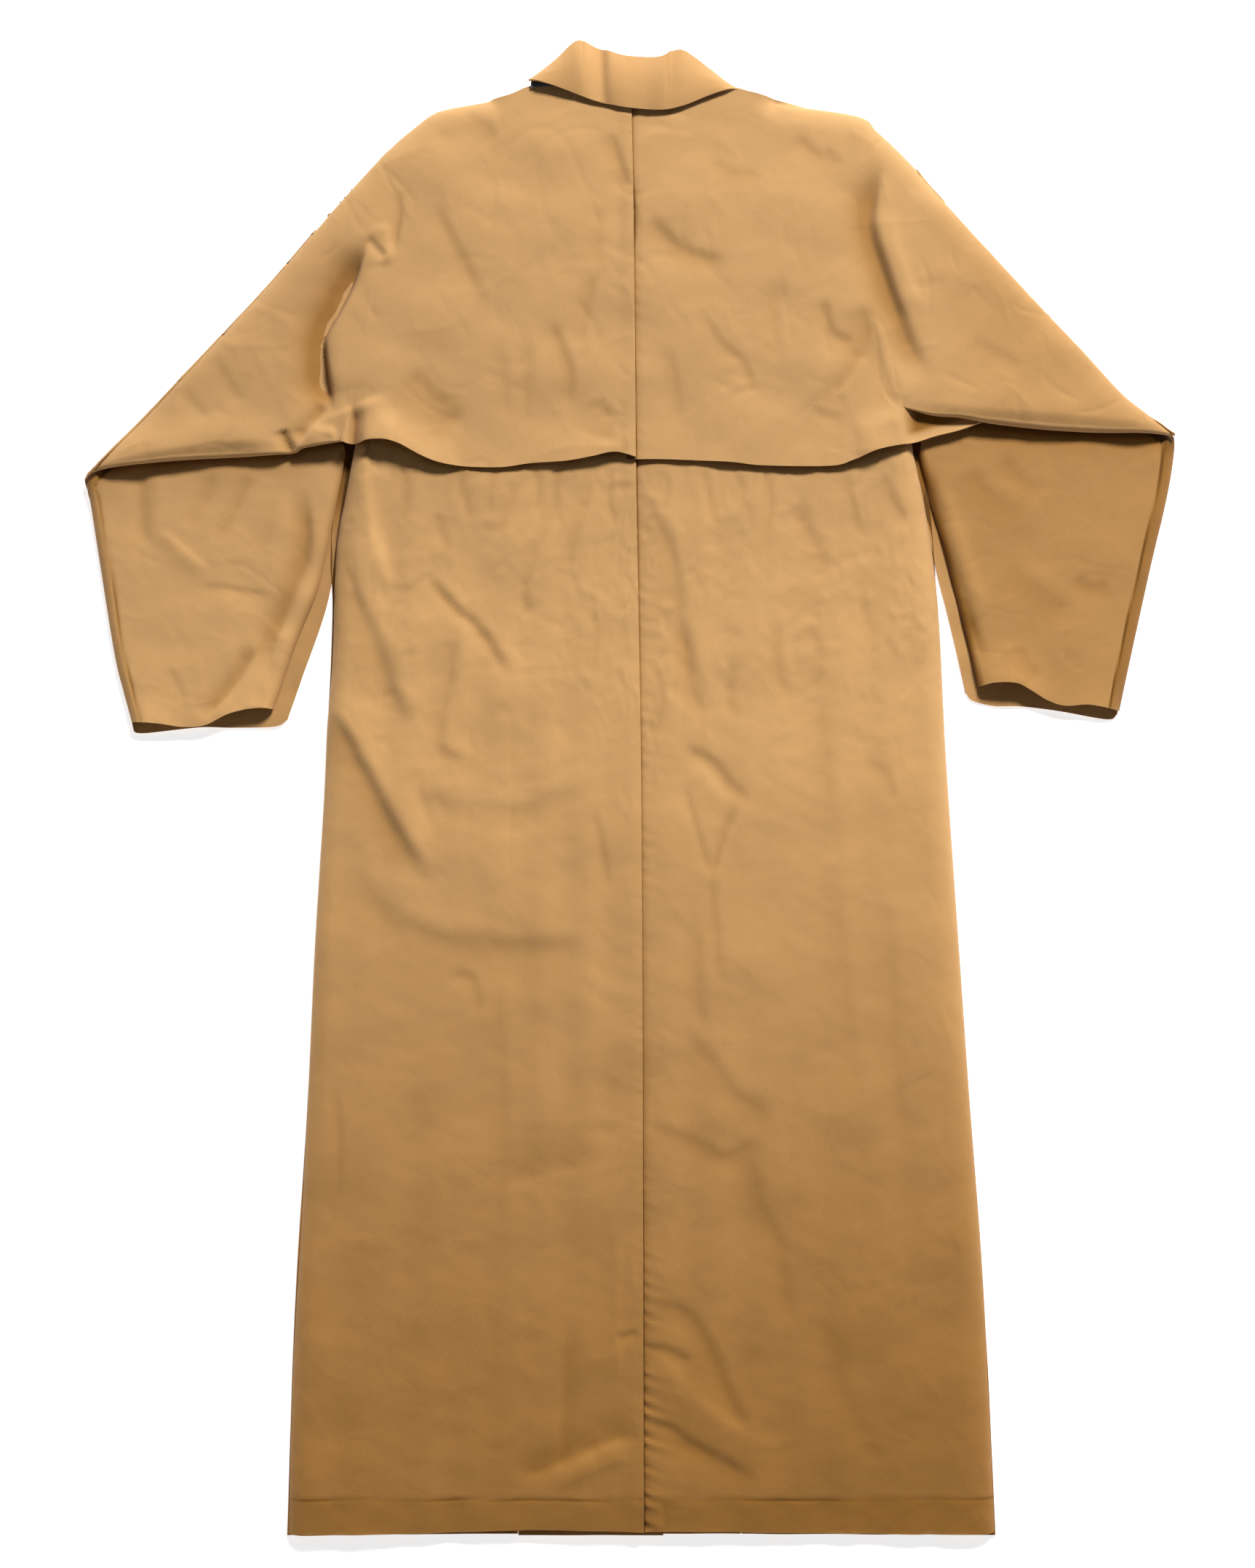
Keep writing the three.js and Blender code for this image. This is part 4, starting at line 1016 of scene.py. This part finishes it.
z = 24.4 * mm + 6.5 * mm * bulge * (1 - np.exp(-lowGap / 0.03)) + folds(x, y, collarFolds)
z = z + ripple(x, y, 41, 30, 0.3) + rollOff(rollGap, 11, 14)
z = z + 3.0 * mm * np.exp(-((x + 0.088) / 0.02) ** 2)
top = withHeight(flat, z)
# painted shade: the collar a little darker all over
collarPiece = shell("collar", top, collar["thick"], tan, None, 0.1 + 0 * x)
turn = [(0, y * mm, 0.022) for y in collar["turn"]]
layOn(("collar", *turn), collarPiece, top,
      ["collar_leaf", "under_collar"], places=4)

band = {
    "low": [(-88, 624), (-74, 625), (-54, 626), (-30, 620), (1.6, 614), (40, 616), (70, 623), (93, 624.5)],
    "roll": [(-87.5, 633), (-64, 644), (-46, 663), (-30, 661.5), (-8, 654), (15, 652.3), (29, 652.8),
             (37, 657), (50, 657), (70, 642.5), (84, 633.5), (93, 626)],
}
flat = patch(band["low"], band["roll"], [band["low"][0], band["roll"][0]],
             [band["low"][-1], band["roll"][-1]], 2.6)
gap = nearest(flat[..., 0], flat[..., 1], band["roll"], 60)[0]
across = np.clip((flat[..., 0] + 0.075) / 0.02, 0, 1)
underCrease = np.exp(-((flat[..., 0] + 0.028) / 0.014) ** 2)
top = withHeight(flat, (22.0 - 4.5 * across - 4.0 * underCrease) * mm + rollOff(gap, 9, 7))
piece = shell("collar_band", top, 1.2, greyLining)
layOn(coat, piece, top, ["collar_stand"], 4)
print("collar made")

# fronts, on the surface below

front = {
    "left": [(-307, -668), (-300, -464), (-288, -269), (-274, -9), (-266.5, 150), (-268, 200),
             (-267, 250), (-266, 300), (-262, 330), (-232, 400), (-204, 566)],
    "leftIn": [(-100.3, -667), (-100.3, 0), (-100.3, 598)],
    "right": [(328, -668), (318, -464), (304, -269), (285, -9), (273.5, 197), (268, 262),
              (263, 312), (236, 400), (208, 572)],
    "rightIn": [(100.3, -667), (100.3, 0), (100.3, 598)],
}


def frontPiece(side):
    left = side == "left"
    outer, inner = front[side], front[side + "In"]
    if left:
        flat = patch([outer[0], inner[0]], [outer[-1], (-172, 588), inner[-1]], outer, inner, 6.0)
    else:
        flat = patch([inner[0], outer[0]], [inner[-1], (176, 590), outer[-1]], inner, outer, 6.0)
    x, y = flat[..., 0], flat[..., 1]
    gap = nearest(x, y, outer, 50)[0]
    z = 1.5 * mm + np.clip(ripple(x, y, 51, 60, 0.3), -0.4 * mm, 1) + 1.0 * mm * np.exp(-gap / 0.006)
    # painted shade: darker all over, and more so towards the top, where the fronts show in the slits
    paintedShade = 0.6 * smooth((y - 0.1) / 0.1) + 0.2
    top = withHeight(flat, z)
    return shell(side + "_front", top, 1.0, tan, None, paintedShade), top


def frontStrip(name, low, high, z0):
    # a flat strip with its lower neck corner cut away: 507 at the low side, 598 at the high side
    flat = patch([(low, -667), (high, -667)], [(low, 507), (high, 598)],
                 [(low, -667), (low, 507)], [(high, -667), (high, 598)], 6.0)
    x, y = flat[..., 0], flat[..., 1]
    z = z0 * mm + np.clip(ripple(x, y, 53, 60, 0.2), -0.3 * mm, 0.3 * mm)
    top = withHeight(flat, z)
    return shell(name, top, 0.9, tan, None), top


leafEdges = {
    "left": ([(-84, 560), (-50, 548), (-4, 540)], [(-86, 628), (-46, 655), (-4, 642)]),
    "right": ([(4, 540), (50, 548), (84, 560)], [(4, 642), (46, 646), (96, 622)]),
}
for side, (low, high) in leafEdges.items():
    flat = patch(low, high, [low[0], high[0]], [low[-1], high[-1]], 4.0)
    top = withHeight(flat, 1.0 * mm + 0 * flat[..., 0])
    piece = shell(side + "_front_leaf", top, 0.8, tan)
    layOn(coat, piece, top, [side + "_front_collar_leaf"], places=4)

for side in ("left", "right"):
    piece, top = frontPiece(side)
    layOn(coat, piece, top, [side + "_front_panel", side + "_front_hem"])
low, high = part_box("left_front_edge")
piece, top = frontStrip("left_front_strip", low.x / mm, high.x / mm, 5.4)
layOn(coat, piece, top, ["left_front_edge"])
piece, top = frontStrip("right_front_strip", -30, 99.7, 1.4)
layOn("right_front", piece, top, ["right_front_edge"])
print("fronts made")

# stitching


def backAt(x, y):
    return backHeight(x, y) + 0.4 * mm


besideSeam = [(px - 6.6, py) for px, py in seamLine if py < 296]
piece = stitches("left_seam_stitches", besideSeam, backAt, thread)
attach(piece, coat)
print("stitching made")

# carried-over pieces

hidden = {"lining": greyLining, "pocketing": pocketCloth, "button": hornBrown, "cloth": tanShadedCopy}
for entry in frame["record"]["subparts"]:
    node = bpy.data.objects.get(entry["node"])
    if node is not None and node.type == "MESH":
        for place in range(max(1, len(node.data.materials))):
            if len(node.data.materials):
                node.data.materials[place] = hidden[entry["material_slot"]]
            else:
                node.data.materials.append(hidden[entry["material_slot"]])

# floor, light, camera

stage = {"half": 13.0, "wall": 4.5, "window": 226.0, "fill": 0.5, "sky": 0.06}
mesh = bpy.data.meshes.new("floor")
half, wall = stage["half"], stage["wall"]
mesh.from_pydata([(px * half, py * half, pz) for pz in (0, wall) for px, py in
                  ((-1, -1), (1, -1), (1, 1), (-1, 1))], [],
                 [(0, 1, 2, 3), (0, 4, 5, 1), (1, 5, 6, 2), (2, 6, 7, 3), (3, 7, 4, 0)])
floorPiece = bpy.data.objects.new("floor", mesh)
bpy.context.scene.collection.objects.link(floorPiece)
paper = bpy.data.materials.new("paper")
paper.use_nodes = True
paperBsdf = paper.node_tree.nodes["Principled BSDF"]
paperBsdf.inputs["Base Color"].default_value = (0.92, 0.92, 0.93, 1)
paperBsdf.inputs["Roughness"].default_value = 0.95
paperBsdf.inputs["Specular IOR Level"].default_value = 0.1
paperBsdf.inputs["Emission Color"].default_value = (1, 1, 1, 1)
paperBsdf.inputs["Emission Strength"].default_value = 0.7
mesh.materials.append(paper)


def softLight(name, place, aim, size, power, colour=(1, 1, 1)):
    data = bpy.data.lights.new(name, "AREA")
    data.shape, data.size, data.size_y = "RECTANGLE", size[0], size[1]
    data.energy, data.color = power, colour
    lamp = bpy.data.objects.new(name, data)
    lamp.location = place
    lamp.rotation_mode = "QUATERNION"
    lamp.rotation_quaternion = (Vector(aim) - Vector(place)).to_track_quat("-Z", "Y")
    bpy.context.scene.collection.objects.link(lamp)
    return lamp


softLight("window", (1.0, 3.0, 2.1), (0, -0.05, 0), (1.1, 0.6), stage["window"])
softLight("ceiling", (-0.6, -0.3, 2.6), (0, 0, 0), (2.4, 2.4), stage["fill"])
world = bpy.data.worlds.new("room")
world.use_nodes = True
world.node_tree.nodes["Background"].inputs[0].default_value = (1, 1, 1, 1)
world.node_tree.nodes["Background"].inputs[1].default_value = stage["sky"]
bpy.context.scene.world = world
bpy.context.scene.view_settings.view_transform = "Standard"

camera = bpy.data.cameras.new("camera")
camera.lens, camera.sensor_width = 50, 36
cameraPiece = bpy.data.objects.new("camera", camera)
cameraPiece.location = (-0.002, 0.0055, 1.955)
bpy.context.scene.collection.objects.link(cameraPiece)
bpy.context.scene.camera = cameraPiece
print("stage ready")
